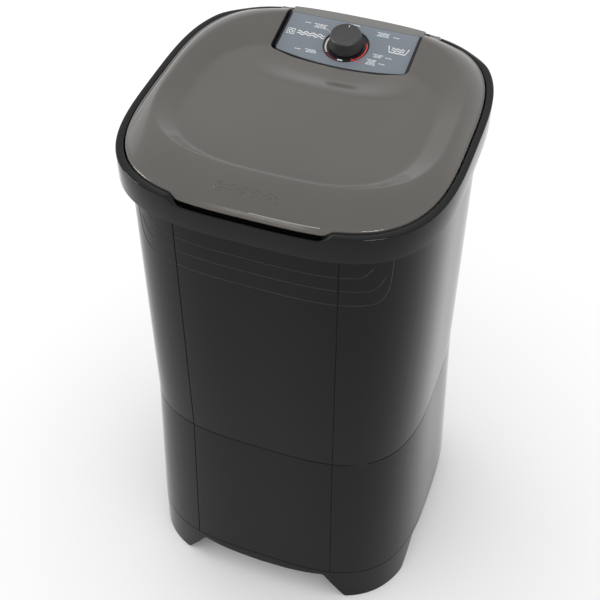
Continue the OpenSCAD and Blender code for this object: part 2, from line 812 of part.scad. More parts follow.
module lint_filter() {
    bar = 6;
    gap = 0.6;
    w = filter_w - 2 * gap;
    color("#8fb8cf") translate([filter_x + 10.5, tub_cy - filter_w / 2 + gap, filter_z + gap]) {
        difference() {
            cube([10, w, filter_h]);
            translate([-1, bar, bar]) cube([12, w - 2 * bar, filter_h - 3 * bar]);
        }
        for (k = [1:7]) translate([4, bar - 0.5, bar + k * (filter_h - 3 * bar) / 8])
            cube([1.2, w - 2 * bar + 1, 1.2]);
        for (k = [1:5]) translate([4, bar + k * (w - 2 * bar) / 6, bar - 0.5])
            cube([1.2, 1.2, filter_h - 3 * bar + 1]);
        translate([0, w / 2 - 14, filter_h - 1]) cube([10, 28, 9]);
    }
}

// ---------------------------------------------------------------- pulsator and drive

module at_shaft(z) { translate([0, tub_cy, z]) children(); }

module pulsator() {
    r = pulsator_d / 2;
    z0 = tub_floor_z + 3;
    color("#e8e8e4") at_shaft(z0) difference() {
        union() {
            rotate_extrude($fn = 96) polygon([[0, 0], [r - 4, 0], [r, 3], [r - 2, 8], [60, 14],
                [34, 26], [26, 40], [0, 40]]);
            for (k = [0:4]) rotate(72 * k) pulsator_fin(r);
        }
        translate([0, 0, -1]) cylinder(r = shaft_r, h = 31, $fn = 32);
        translate([0, 0, 29]) cylinder(r = 3.2, h = 20, $fn = 24);
        translate([0, 0, 34]) cylinder(r = 13, h = 10, $fn = 48);
        difference() {
            translate([0, 0, -1]) cylinder(r = r - 12, h = 6, $fn = 96);
            translate([0, 0, -2]) cylinder(r = 22, h = 10, $fn = 48);
        }
    }
}

module pulsator_fin(r) {
    rotate([90, 0, 0]) translate([0, 0, -4]) linear_extrude(8)
        polygon([[20, 4], [r - 14, 4], [r - 16, 15], [r - 40, 26], [60, 34], [20, 38]]);
}

module pulsator_cap() {
    color("#5f8fae") at_shaft(tub_floor_z + 3 + 37.2)
        rotate_extrude($fn = 48) polygon([[0, 0], [13, 0], [13, 4], [9, 7.5], [4, 9], [0, 9.2]]);
}

module pulsator_screw() {
    color("silver") at_shaft(tub_floor_z + 3 + 34) mirror([0, 0, 1]) screw_up(3, 17, 6, 2.4);
}

module drive_shaft() {
    low = pulley_z - 14;
    color("silver") at_shaft(low) difference() {
        union() {
            cylinder(r = shaft_r, h = tub_floor_z + 33 - low, $fn = 32);
            translate([0, 0, 44]) cylinder(r = shaft_r + 3, h = 2.5, $fn = 32);
        }
        translate([0, 0, tub_floor_z + 20 - low]) cylinder(r = 3, h = 20, $fn = 24);
    }
}

module shaft_seal() {
    h = 12;
    color("#202020") at_shaft(tub_floor_z - h) rotate_extrude($fn = 48)
        polygon([[shaft_r + 0.3, 0], [seal_r, 0], [seal_r, h], [shaft_r + 2, h],
            [shaft_r + 0.3, h - 1.5]]);
}

bush_h = 16;
bush_r = 12;

module bearing_housing() {
    top = tub_floor_z - 12;
    h = top - housing_low_z;
    color("#b9babb") at_shaft(housing_low_z) difference() {
        union() {
            cylinder(r = 20, h = h, $fn = 48);
            translate([0, 0, h - 6]) cylinder(r = 56, h = 6, $fn = 64);
            cylinder(r = 44, h = 5, $fn = 64);
            for (k = [0:3]) rotate(90 * k) translate([15, -2.5, 3]) cube([26, 5, h - 6]);
        }
        translate([0, 0, -1]) cylinder(r = shaft_r + 3.5, h = h + 2, $fn = 32);
        for (z = [-1, h - bush_h]) translate([0, 0, z])
            cylinder(r = bush_r, h = bush_h + 1, $fn = 32);
        for (t = [45:90:315]) rotate(t) {
            translate([46, 0, h - 8]) cylinder(r = 2.7, h = 10, $fn = 24);
            translate([34, 0, -1]) cylinder(r = 2.7, h = 8, $fn = 24);
        }
    }
}

module bush(z) {
    color("#b08d4f") at_shaft(z) difference() {
        cylinder(r = bush_r, h = bush_h, $fn = 32);
        translate([0, 0, -1]) cylinder(r = shaft_r + running, h = bush_h + 2, $fn = 32);
    }
}

module upper_bush() { bush(tub_floor_z - 12 - bush_h); }
module lower_bush() { bush(housing_low_z); }

module housing_bolts() {
    color("silver") at_shaft(0) for (t = [45:90:315]) rotate(t) {
        translate([46, 0, tub_floor_z - 18]) screw_up(2.5, 15, 4.6, 3);
        translate([34, 0, bracket_z]) screw_up(2.5, 18, 4.6, 3);
    }
}

module driven_pulley() {
    r = driven_d / 2;
    color("#8a8d90") at_shaft(pulley_z) difference() {
        union() {
            rotate_extrude($fn = 96) polygon([[r - 16, 3], [r + 5, 3], [r + 5, 5.4], [r - 4, 8.4],
                [r - 4, 11.6], [r + 5, 14.6], [r + 5, 17], [r - 16, 17]]);
            cylinder(r = 18, h = pulley_h, $fn = 48);
            translate([0, 0, 8]) cylinder(r = r - 10, h = 4, $fn = 96);
        }
        translate([0, 0, -1]) cylinder(r = shaft_r, h = pulley_h + 2, $fn = 32);
        for (k = [0:5]) rotate(60 * k) translate([45, 0, 0]) cylinder(r = 14, h = 30, $fn = 32);
    }
}

module pulley_nut() {
    color("silver") at_shaft(pulley_z - 8) difference() {
        cylinder(r = 12.5, h = 7.8, $fn = 6);
        translate([0, 0, -1]) cylinder(r = shaft_r, h = 12, $fn = 32);
    }
}

// V-belt: outline round both pulleys, two arcs and two tangents
function belt_points(grow) =
    let (r1 = driven_d / 2 + grow, r2 = motor_pulley_d / 2 + grow, lean = asin((r1 - r2) / drive_cc),
         wrap1 = 180 + 2 * lean, wrap2 = 180 - 2 * lean)
    concat([for (k = [0:40]) let (t = 180 - lean + wrap1 * k / 40) [r1 * cos(t), r1 * sin(t)]],
        [for (k = [0:20]) let (t = lean + wrap2 * k / 20) [r2 * cos(t), drive_cc + r2 * sin(t)]]);

module drive_belt() {
    color("#191919") at_shaft(pulley_z + 7.3) linear_extrude(5.4) difference() {
        polygon(belt_points(5.2));
        polygon(belt_points(0.8));
    }
}

// ---------------------------------------------------------------- motor

module at_motor(z) { translate([0, motor_y, z]) children(); }

module motor_bracket() {
    color("#9a9da0") translate([0, 0, bracket_z]) difference() {
        union() {
            linear_extrude(bracket_t) bracket_plan();
            for (x = [-1, 1]) translate([x * 66 - 1.5, tub_cy + 10, 0]) cube([3, drive_cc + 30, 16]);
        }
        translate([0, tub_cy, -1]) cylinder(r = 16, h = 10, $fn = 48);
        translate([0, motor_y, -1]) cylinder(r = 17, h = 10, $fn = 48);
        for (t = [45:90:315]) {
            translate([34 * cos(t), tub_cy + 34 * sin(t), -1]) cylinder(r = 2.7, h = 10, $fn = 24);
            translate([motor_bolt_r * cos(t), motor_y + motor_bolt_r * sin(t), -1])
                cylinder(r = 2.7, h = 10, $fn = 24);
        }
    }
}

module bracket_plan() {
    translate([-67, tub_cy + 10]) square([134, drive_cc + 30]);
    translate([0, tub_cy]) circle(r = 52, $fn = 64);
}

module motor_cover_shape(h) {
    difference() {
        union() {
            difference() {
                cylinder(r = motor_r, h = h, $fn = 64);
                translate([0, 0, 4]) cylinder(r = motor_r - 4, h = h, $fn = 64);
            }
            for (t = [45:90:315]) rotate(t) translate([motor_bolt_r, 0, 1])
                cylinder(r = 6.5, h = h - 2, $fn = 32);
        }
        translate([0, 0, -1]) cylinder(r = motor_shaft_r + running, h = 10, $fn = 32);
        for (t = [45:90:315]) rotate(t) translate([motor_bolt_r, 0, -1])
            cylinder(r = 2.7, h = h + 2, $fn = 24);
        for (k = [0:7]) rotate(45 * k + 22.5) translate([34, 0, -1]) cylinder(r = 5, h = 8, $fn = 24);
    }
}

module motor_lower_cover() { color("#b4b6b8") at_motor(motor_low) motor_cover_shape(cover_h); }

module motor_upper_cover() {
    color("#b4b6b8") at_motor(motor_low + motor_h) mirror([0, 0, 1]) motor_cover_shape(cover_h);
}

module motor_stator() {
    h = motor_h - 2 * cover_h;
    color("#5c5f63") at_motor(motor_low + cover_h) difference() {
        cylinder(r = motor_r, h = h, $fn = 64);
        translate([0, 0, -1]) cylinder(r = 31, h = h + 2, $fn = 64);
        for (t = [45:90:315]) rotate(t) translate([motor_bolt_r, 0, -1])
            cylinder(r = 2.7, h = h + 2, $fn = 24);
        for (k = [0:11]) rotate(30 * k) translate([30, -3, -1]) cube([8, 6, h + 2]);
    }
}

// End turns of the stator's copper winding, above and below the laminations
module stator_winding() {
    h = 11;
    color("#b4713a") at_motor(motor_low) for (z = [cover_h - h, motor_h - cover_h])
        translate([0, 0, z]) rotate_extrude($fn = 64)
            polygon([[33, 1], [34, 0], [41, 0], [42, 1], [42, h - 1], [41, h], [34, h], [33, h - 1]]);
}

module motor_rotor() {
    low = pulley_z - 4;
    color("#9c7a55") at_motor(0) {
        translate([0, 0, low]) cylinder(r = motor_shaft_r, h = motor_low + motor_h - 1 - low, $fn = 32);
        translate([0, 0, motor_low + 18]) cylinder(r = 30.4, h = 44, $fn = 64);
        for (k = [0:7]) rotate(45 * k) translate([10, -1, motor_low + 10]) cube([18, 2, 8.5]);
    }
}

module motor_pulley() {
    r = motor_pulley_d / 2;
    color("#8a8d90") at_motor(pulley_z) difference() {
        union() {
            rotate_extrude($fn = 64) polygon([[0, 3], [r + 5, 3], [r + 5, 5.4], [r - 4, 8.4],
                [r - 4, 11.6], [r + 5, 14.6], [r + 5, 17], [0, 17]]);
            cylinder(r = 11, h = pulley_h, $fn = 32);
        }
        translate([0, 0, -1]) cylinder(r = motor_shaft_r, h = pulley_h + 2, $fn = 32);
    }
}

module motor_bolts() {
    color("silver") at_motor(bracket_z) for (t = [45:90:315]) rotate(t)
        translate([motor_bolt_r, 0, 0]) {
            screw_up(2.5, motor_h + 8, 4.6, 3);
            translate([0, 0, motor_h + bracket_t]) cylinder(r = 4.6, h = 4, $fn = 6);
        }
}

module capacitor() {
    color("#d9dadb") translate([-100, motor_y - 30, bracket_z + 21]) rotate([-90, 0, 0]) {
        cylinder(r = 18, h = 76, $fn = 48);
        for (x = [-6, 6]) translate([x - 3, -0.5, 76]) cube([6, 1, 8]);
    }
}

module capacitor_clip() {
    color("#9a9da0") translate([-100, motor_y - 4, bracket_z + 21]) rotate([-90, 0, 0]) difference() {
        union() {
            cylinder(r = 20, h = 14, $fn = 48);
            translate([0, 14, 0]) cube([32.4, 6.8, 14]);
            translate([29.4, 4, 0]) cube([3, 16.8, 14]);
        }
        translate([0, 0, -1]) cylinder(r = 18.1, h = 16, $fn = 48);
        translate([-30, -30, -1]) cube([22, 60, 16]);
    }
}

// ---------------------------------------------------------------- drain and cord inlet

module drain_elbow() {
    pipe = drain_pipe_z;
    color("#3b3b3d") difference() {
        union() {
            translate([drain_x, drain_y, pipe - 13]) cylinder(r = 15, h = tub_floor_z - pipe + 13, $fn = 48);
            translate([drain_x, drain_y, tub_floor_z - 9]) cylinder(r = 19, h = 5.8, $fn = 48);
            translate([drain_x, drain_y, pipe]) rotate([-90, 0, 0])
                cylinder(r = spigot_r, h = 38, $fn = 48);
        }
        translate([drain_x, drain_y, pipe - 10]) cylinder(r = 12.5, h = 60, $fn = 48);
        translate([drain_x, drain_y, pipe]) rotate([-90, 0, 0])
            cylinder(r = spigot_r - 2.2, h = 60, $fn = 48);
    }
}

module drain_hose() {
    last = len(hose_route) - 1;
    color("#77797b") difference() {
        sweep(hose_route, hose_r, 12);
        sweep(concat([hose_route[0] - [0, 2, 0]], hose_route, [hose_route[last] + [0, 2, 0]]),
            hose_bore, 12);
    }
}

// Outlet through the rear panel: inner spigot, flange, and the nozzle that an outside hose fits
module drain_outlet() {
    color("#2f2f31") translate([outlet_x, 0, outlet_z]) rotate([-90, 0, 0]) difference() {
        union() {
            translate([0, 0, rear_face_y - 23]) cylinder(r = spigot_r, h = 16, $fn = 48);
            translate([0, 0, rear_face_y - 11]) cylinder(r = 19, h = 4, $fn = 48);
            translate([0, 0, rear_face_y - 8])
                cylinder(r = nozzle_r, h = rim_b - rear_face_y + 7, $fn = 48);
        }
        cylinder(r = spigot_r - 2.2, h = big, $fn = 48);
    }
}

module hose_clamps() {
    w = 6;
    first = hose_route[0] + [0, w, 0];
    end = hose_route[len(hose_route) - 1] - [0, w - 2, 0];
    color("silver") for (p = [first, end]) translate(p) rotate([-90, 0, 0]) difference() {
        cylinder(r = hose_r + 1.6, h = w, center = true, $fn = 48);
        cylinder(r = hose_r + 0.1, h = w + 2, center = true, $fn = 48);
    }
}

// Gland where the mains lead would enter
module cord_gland() {
    color("#202022") translate([gland_x, 0, gland_z]) rotate([-90, 0, 0]) difference() {
        union() {
            translate([0, 0, rear_face_y - 16]) cylinder(r = gland_r, h = 25, $fn = 48);
            translate([0, 0, rear_face_y - 10]) cylinder(r = 13, h = 5, $fn = 48);
        }
        translate([0, 0, rear_face_y - 40]) cylinder(r = gland_bore, h = 80, $fn = 32);
    }
}

// Loom from the timer to the motor, tied along the rear joiner
module wiring_harness() {
    color("#31313a") sweep(wire_route, wire_r, 8);
}

base_skirt();
foot_pads();
base_screws();
lower_front_panel();
lower_rear_panel();
lower_left_panel();
lower_right_panel();
upper_front_panel();
upper_rear_panel();
upper_left_panel();
upper_right_panel();
waist_ring();
panel_joiners();
top_collar();
collar_screws();
wash_tub();
filter_guide();
lint_filter();
pulsator();
pulsator_cap();
pulsator_screw();
drive_shaft();
shaft_seal();
bearing_housing();
upper_bush();
lower_bush();
housing_bolts();
driven_pulley();
pulley_nut();
drive_belt();
motor_bracket();
motor_stator();
stator_winding();
motor_upper_cover();
motor_lower_cover();
motor_rotor();
motor_pulley();
motor_bolts();
capacitor();
capacitor_clip();
drain_elbow();
drain_hose();
hose_clamps();
drain_outlet();
cord_gland();
console_housing();
control_panel();
dial_ring();
timer_body();
timer_shaft();
timer_cam();
timer_knob();
timer_screws();
lid();
hinge_pins();
lid_buffers();
wiring_harness();
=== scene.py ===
"""Portable mini washer: camera, studio, materials and detailed meshes round the CAD frame."""

import math

import bmesh
import bpy
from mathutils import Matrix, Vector


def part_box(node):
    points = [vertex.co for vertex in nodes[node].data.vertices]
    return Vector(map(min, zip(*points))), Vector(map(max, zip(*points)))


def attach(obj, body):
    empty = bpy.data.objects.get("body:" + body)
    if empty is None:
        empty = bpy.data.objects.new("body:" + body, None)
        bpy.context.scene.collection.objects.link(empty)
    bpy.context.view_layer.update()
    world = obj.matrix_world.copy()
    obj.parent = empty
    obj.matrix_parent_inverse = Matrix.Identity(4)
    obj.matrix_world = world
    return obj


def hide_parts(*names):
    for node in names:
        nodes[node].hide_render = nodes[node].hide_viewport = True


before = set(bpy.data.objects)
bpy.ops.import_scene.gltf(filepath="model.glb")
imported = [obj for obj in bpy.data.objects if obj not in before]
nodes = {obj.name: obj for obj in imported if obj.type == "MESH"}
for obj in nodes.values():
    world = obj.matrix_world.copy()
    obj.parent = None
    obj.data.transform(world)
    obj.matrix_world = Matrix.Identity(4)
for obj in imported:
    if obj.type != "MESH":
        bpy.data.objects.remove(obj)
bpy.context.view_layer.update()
MM = 0.001

# ------------------ dimensions, in millimetres


def box_mm(node):
    low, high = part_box(node)
    return [v / MM for v in low], [v / MM for v in high]


COLLAR_LOW, COLLAR_HIGH = box_mm("top_collar")
RIM_A, RIM_B, RIM_Z = COLLAR_HIGH
RIM_N = 3.4  # exponent of the rounded square that every outline follows
COLLAR_H = 46
COLLAR_TOP = 11
SKIRT_T = 3.2
SKIRT_Z = RIM_Z - COLLAR_H
LEDGE_Z = RIM_Z - 16
LEDGE_T = 4
SCOOP_X = 104
SCOOP_RAMP = 25
SCOOP_DROP = 10.5
TROUGH_Z = RIM_Z - 24

PANEL_LOW, PANEL_HIGH = box_mm("upper_front_panel")
LOWER_LOW, LOWER_HIGH = box_mm("lower_front_panel")
CAB_A = box_mm("upper_right_panel")[1][0]
CAB_B = -PANEL_LOW[1]
WAIST_Z = PANEL_LOW[2]
BASE_Z = LOWER_LOW[2]
FLARE = LOWER_LOW[1] / PANEL_LOW[1]
SEAM_X = 129
WALL = 3
SEAM_GAP = 1
PANEL_COLUMNS = 97
PANEL_EDGE = 1.1
REAR_CUT = (220, 280)
REAR_HOLES = ((100, 122, 13.2), (-90, 140, 9.2))  # x, z, radius: drain outlet and cord gland
VENTS = 11
VENT_PITCH = 16
VENT_HALF = 2
VENT_Z = (300, 334)

BASE_A = CAB_A * FLARE
BASE_B = CAB_B * FLARE
BASE_FOOT = 1.007
BASE_TOP = box_mm("base_skirt")[1][2]
ARCH_X = 167
ARCH_Y = 151
ARCH_RISE = 12
ARCH_Z = 61
ARCH_END = 1.2
BASE_WALL = 3.5
FOOT_T = 3

LID_A = RIM_A - COLLAR_TOP - 2
LID_B = RIM_B - COLLAR_TOP - 2
LID_LOW = RIM_Z - 12
DISH_A, DISH_FRONT, DISH_BACK, DISH_CY, DISH_N = 225, 171, 238, -12, 2.9
FLOOR_A, FLOOR_FRONT, FLOOR_BACK, FLOOR_N = 190, 170, 148, 3
DISH_Z = RIM_Z + 18
FLOOR_Z = RIM_Z + 3
FLOOR_MIDDLE = (0, 0, FLOOR_Z + 0.8)
LID_T = 3
LIP_X = 126
BEAD_X = 103
BEAD_INSET = 1.9
NOTCH_REAR = 246

CONSOLE_X = 113.5
CONSOLE_FRONT = 126
CONSOLE_SIDE = 147
STRIP_Y = 229
STRIP_RISE = 9.5
TILT = math.radians(10.5)
PANEL_Z = RIM_Z - 7.5
KNOB_Y = 177
KNOB_Z = PANEL_Z + (KNOB_Y - CONSOLE_FRONT) * math.tan(TILT)
KNOB_R = 28
KNOB_H = 23.5
KNOB_LIFT = 1.2
DIAL_R = 38
DIAL_PRINT = (-2.1, -1.7)
PRINT_H = 0.16

TAB_X = 119
TAB_W = 20
HINGE_Y = RIM_B - 15.5
HINGE_Z = RIM_Z - 4

TUB_CY = -55
TUB_A, TUB_B = 224, 164
TUB_LOW_A, TUB_LOW_B = 198, 142
TUB_FLOOR = 374
TUB_TOP = RIM_Z - 20.2
TUB_ROUND = 26
TUB_WALL = 3
TUB_FLANGE = 12
TUB_BOSS_R = 58
TUB_BORE_R = 17.2
DRAIN_X = 140
DRAIN_Y = 0
PULSATOR_R = 118
PULSATOR_BORE = 7.02
PULSATOR_HUB = 13.2
FINS = 5
FIN_START = 20
FIN_END = 8

# ------------------ camera and studio


def add_camera():
    place = (0.4686, -1.3441, 2.0455)
    look = Vector((-0.2334, 0.6474, -0.7256))
    data = bpy.data.cameras.new("camera")
    data.lens = 69
    data.sensor_width = 36
    camera = bpy.data.objects.new("camera", data)
    bpy.context.scene.collection.objects.link(camera)
    camera.location = place
    camera.rotation_euler = look.to_track_quat("-Z", "Y").to_euler()
    bpy.context.scene.camera = camera


def area_light(name, place, aim, size, power, glint=False):
    """Soft box; a glint is seen only in reflections and lights no surface by itself."""
    data = bpy.data.lights.new(name, "AREA")
    data.shape = "RECTANGLE"
    data.size, data.size_y = size
    data.energy = power
    light = bpy.data.objects.new(name, data)
    bpy.context.scene.collection.objects.link(light)
    light.location = place
    light.visible_diffuse = not glint
    light.rotation_euler = (Vector(aim) - Vector(place)).to_track_quat("-Z", "Y").to_euler()


def add_studio():
    world = bpy.data.worlds.new("studio")
    bpy.context.scene.world = world
    world.use_nodes = True
    sky = world.node_tree.nodes["Background"]
    sky.inputs["Color"].default_value = (1, 1, 1, 1)
    sky.inputs["Strength"].default_value = 1.1
    area_light("left_box", (-2.7, 0.7, 2.0), (0, 0, 0.95), (3.2, 1.3), 9)
    area_light("right_glint", (1.62, -1.92, 3.0), (0.2, -0.2, 0.97), (1.0, 0.6), 60, glint=True)
    area_light("left_glint", (-2.56, -0.78, 1.91), (-0.25, -0.15, 0.96), (1.0, 0.6), 45, glint=True)
    area_light("lip_glint", (-0.65, -2.39, 2.62), (0, -0.25, 0.97), (0.7, 0.4), 2.5, glint=True)
    add_floor(20, 0.95)
    bpy.context.scene.view_settings.view_transform = "Standard"


def add_floor(size, shade):
    """Plain pale floor; size is half its side in metres."""
    data = bpy.data.meshes.new("floor")
    data.from_pydata([(-size, -size, 0), (size, -size, 0), (size, size, 0), (-size, size, 0)], [],
                     [(0, 1, 2, 3)])
    floor = bpy.data.objects.new("floor", data)
    bpy.context.scene.collection.objects.link(floor)
    material = bpy.data.materials.new("floor")
    material.use_nodes = True
    shader = material.node_tree.nodes["Principled BSDF"]
    shader.inputs["Base Color"].default_value = (shade, shade, shade, 1)
    shader.inputs["Roughness"].default_value = 0.9
    shader.inputs["Specular IOR Level"].default_value = 0
    data.materials.append(material)


# ------------------ materials


def surface(name, base, roughness, metallic=0.0, specular=0.5, grain=0.02, grain_scale=900.0,
            mottle=0.06, mottle_scale=6.0, wear=0.25, facing=1.0):
    """Moulded plastic, metal or rubber: mottled colour and roughness, fine grain, paler worn edges."""
    material = bpy.data.materials.new(name)
    material.use_nodes = True
    tree = material.node_tree
    shader = tree.nodes["Principled BSDF"]
    shader.inputs["Metallic"].default_value = metallic
    shader.inputs["Specular IOR Level"].default_value = specular
    shader.inputs["Specular Tint"].default_value = (facing, facing, facing, 1)
    place = tree.nodes.new("ShaderNodeTexCoord").outputs["Object"]

    def noise(scale, detail):
        node = tree.nodes.new("ShaderNodeTexNoise")
        node.inputs["Scale"].default_value = scale
        node.inputs["Detail"].default_value = detail
        tree.links.new(place, node.inputs["Vector"])
        return node.outputs["Fac"]

    def remap(value, low, high):
        node = tree.nodes.new("ShaderNodeMapRange")
        node.inputs["To Min"].default_value = low
        node.inputs["To Max"].default_value = high
        node.inputs["From Min"].default_value = 0.25
        node.inputs["From Max"].default_value = 0.75
        tree.links.new(value, node.inputs["Value"])
        return node.outputs["Result"]

    def blend(factor, first, second):
        node = tree.nodes.new("ShaderNodeMix")
        node.data_type = "RGBA"
        tree.links.new(factor, node.inputs["Factor"])
        for socket, value in ((node.inputs["A"], first), (node.inputs["B"], second)):
            if isinstance(value, tuple):
                socket.default_value = value
            else:
                tree.links.new(value, socket)
        return node.outputs["Result"]

    broad = noise(mottle_scale, 3)
    shade = tuple(c * (1 - mottle) for c in base) + (1,)
    light = tuple(min(1, c * (1 + mottle)) for c in base) + (1,)
    worn = tuple(min(1, c * (1 + wear) + 0.01 * wear) for c in base) + (1,)
    edge = tree.nodes.new("ShaderNodeMapRange")
    edge.inputs["From Min"].default_value = 0.53
    edge.inputs["From Max"].default_value = 0.62
    tree.links.new(tree.nodes.new("ShaderNodeNewGeometry").outputs["Pointiness"], edge.inputs["Value"])
    mottled = blend(remap(broad, 0, 1), shade, light)
    tree.links.new(blend(edge.outputs["Result"], mottled, worn), shader.inputs["Base Color"])
    tree.links.new(remap(noise(mottle_scale * 3, 4), roughness * 0.9, roughness * 1.12),
                   shader.inputs["Roughness"])
    bump = tree.nodes.new("ShaderNodeBump")
    bump.inputs["Strength"].default_value = grain
    bump.inputs["Distance"].default_value = 0.0006
    tree.links.new(noise(grain_scale, 2), bump.inputs["Height"])
    tree.links.new(bump.outputs["Normal"], shader.inputs["Normal"])
    return material


BLACK = surface("black_moulding", (0.0055, 0.0055, 0.0058), 0.09, specular=0.12)
# Moulded lines: their paler colour is a painted highlight along the raised ridges
RIDGE_PAINTED_HIGHLIGHT = surface("ridge_painted_highlight", (0.02, 0.02, 0.02), 0.4, specular=0.4, grain=0.05)
COLLAR = surface("collar_moulding", (0.006, 0.0063, 0.0065), 0.09, specular=0.16)
LID = surface("lid_moulding", (0.09, 0.0825, 0.0745), 0.16, grain=0.03, facing=0.9)
# Lip bead: its paler colour is a painted highlight in the crease above the pull lip
BEAD_PAINTED_HIGHLIGHT = surface("lid_bead_painted_highlight", (0.28, 0.27, 0.255), 0.25)
HOUSING = surface("console_moulding", (0.16, 0.158, 0.15), 0.36, specular=0.4, grain=0.05)
LABEL = surface("label_film", (0.16, 0.185, 0.215), 0.38, specular=0.4, grain=0.08, grain_scale=1500)
DARK = surface("dark_moulding", (0.012, 0.011, 0.014), 0.4, specular=0.3, grain=0.08)
KNOB = surface("knob_moulding", (0.035, 0.035, 0.035), 0.4, specular=0.4, grain=0.12, grain_scale=1400)
TUB = surface("tub_moulding", (0.72, 0.72, 0.7), 0.28, grain=0.04, mottle=0.03, wear=0.05)
BLUE = surface("filter_moulding", (0.2, 0.4, 0.55), 0.35, grain=0.05)
NYLON = surface("nylon", (0.66, 0.63, 0.55), 0.45, grain=0.1)
ACETAL = surface("acetal", (0.55, 0.38, 0.14), 0.4, grain=0.08)
RUBBER = surface("rubber", (0.02, 0.02, 0.02), 0.75, specular=0.3, grain=0.35, grain_scale=1200)
HOSE = surface("hose_rubber", (0.17, 0.18, 0.19), 0.5, grain=0.15)
WIRE = surface("wire_sleeve", (0.03, 0.03, 0.04), 0.55, grain=0.3, grain_scale=2500)
STEEL = surface("zinc_steel", (0.62, 0.62, 0.6), 0.32, metallic=1, grain=0.1, wear=0.1)
SHEET = surface("galvanised", (0.42, 0.43, 0.44), 0.45, metallic=1, grain=0.1, mottle=0.2,
                mottle_scale=40)
CAST = surface("cast_aluminium", (0.6, 0.61, 0.62), 0.5, metallic=1, grain=0.5, grain_scale=700)
BRONZE = surface("bronze", (0.5, 0.34, 0.14), 0.4, metallic=1, grain=0.2)
CORE = surface("core_steel", (0.14, 0.145, 0.15), 0.5, metallic=1, grain=0.3)
COPPER = surface("copper", (0.62, 0.25, 0.1), 0.35, metallic=1, grain=0.4, grain_scale=1500)
PRINT = surface("white_print", (0.75, 0.76, 0.78), 0.5, mottle=0.02, wear=0)
CREAM = surface("cream_print", (0.6, 0.58, 0.52), 0.5, mottle=0.02, wear=0)
RED = surface("red_print", (0.75, 0.045, 0.04), 0.5, mottle=0.03, wear=0)
MAROON = surface("maroon_print", (0.2, 0.01, 0.05), 0.5, mottle=0.03, wear=0)
TEAL = surface("teal_print", (0.08, 0.45, 0.4), 0.5, mottle=0.03, wear=0)

NODE_MATERIALS = (
    (RUBBER, "foot_pads shaft_seal drive_belt cord_gland lid_buffers"),
    (STEEL, "base_screws collar_screws pulsator_screw drive_shaft housing_bolts pulley_nut "
            "motor_bolts hose_clamps timer_shaft timer_screws hinge_pins"),
    (DARK, "waist_ring panel_joiners drain_elbow drain_outlet"),
    (TUB, "filter_guide"),
    (CAST, "bearing_housing driven_pulley motor_upper_cover motor_lower_cover motor_pulley"),
    (BRONZE, "upper_bush lower_bush"),
    (SHEET, "motor_bracket capacitor_clip"),
    (CORE, "motor_stator motor_rotor"),
    (COPPER, "stator_winding"),
    (NYLON, "capacitor timer_body"),
    (HOSE, "drain_hose"),
    (ACETAL, "timer_cam"),
    (WIRE, "wiring_harness"),
)

# ------------------ mesh helpers


def mesh_of(name, points, faces, weld):
    """Mesh from points in millimetres, with its faces turned outward."""
    data = bpy.data.meshes.new(name)
    data.from_pydata([(x * MM, y * MM, z * MM) for x, y, z in points], [], faces)
    work = bmesh.new()
    work.from_mesh(data)
    if weld:
        bmesh.ops.remove_doubles(work, verts=work.verts, dist=1e-6)
    bmesh.ops.recalc_face_normals(work, faces=work.faces)
    work.to_mesh(data)
    work.free()
    return data


def make(name, points, faces, material, body="cabinet", replaces=(), slot=None, bevel=0.0,
         sharp=35):
    """Visible piece that rides on a body."""
    thing = bpy.data.objects.new(name, mesh_of(name, points, faces, weld=True))
    bpy.context.scene.collection.objects.link(thing)
    thing.data.materials.append(material)
    finish_mesh(thing, bevel, sharp)
    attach(thing, body)
    for node in replaces:
        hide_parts(node)
    return thing


def finish_mesh(thing, bevel=0.0, sharp=35, segments=3):
    """Smooth faces, with a bevel or a crease where they meet at more than the sharp angle."""
    thing.data.shade_smooth()
    if bevel:
        edge = thing.modifiers.new("bevel", "BEVEL")
        edge.width = bevel * MM
        edge.segments = segments
        edge.limit_method = "ANGLE"
        edge.angle_limit = math.radians(sharp)
        edge.harden_normals = True
    else:
        thing.data.set_sharp_from_angle(angle=math.radians(sharp))


def loft(rings, join_ends=False):
    """Points and faces of a skin through rings of equal length, with its ends capped or joined."""
    count = len(rings[0])
    points = [p for ring in rings for p in ring]
    faces = []
    for row in range(0, (len(rings) - 1) * count, count):
        for i in range(count):
            j = (i + 1) % count
            faces.append((row + i, row + j, row + count + j, row + count + i))
    last = (len(rings) - 1) * count
    if join_ends:
        for i in range(count):
            j = (i + 1) % count
            faces.append((last + i, last + j, j, i))
    else:
        faces.append(tuple(range(count))[::-1])
        faces.append(tuple(range(last, last + count)))
    return points, faces


def circle(r, z, sides, cy=0.0):
    """Ring of points round an upright axis at y = cy."""
    return [(r * math.cos(t), cy + r * math.sin(t), z)
            for t in (2 * math.pi * i / sides for i in range(sides))]


def revolve(profile, sides, place=None):
    """Points and faces of a turned shape; profile is (radius, height) from the axis to the axis."""
    points, faces = loft([circle(r, z, sides) for r, z in profile])
    return ([place(p) for p in points] if place else points), faces


def prism(outline, low, high, axis="z"):
    """Points and faces of an extruded outline."""
    order = {"z": lambda u, v, w: (u, v, w), "x": lambda u, v, w: (w, u, v)}[axis]
    rings = [[order(u, v, w) for u, v in outline] for w in (low, high)]
    return loft(rings)


def tube(route, radius, sides=8, closed=False):
    """Points and faces of a round rod along a route."""
    rings = []
    route = [Vector(p) for p in route]
    count = len(route)
    for k, place in enumerate(route):
        ahead = route[(k + 1) % count] if closed else route[min(k + 1, count - 1)]
        behind = route[k - 1] if closed else route[max(k - 1, 0)]
        along = (ahead - behind).normalized()
        side = along.cross(Vector((0, 0, 1)))
        side = (side if side.length > 0.1 else along.cross(Vector((1, 0, 0)))).normalized()
        up = side.cross(along)
        rings.append([tuple(place + radius * (math.cos(t) * side + math.sin(t) * up))
                      for t in (2 * math.pi * i / sides for i in range(sides))])
    return loft(rings, join_ends=closed)


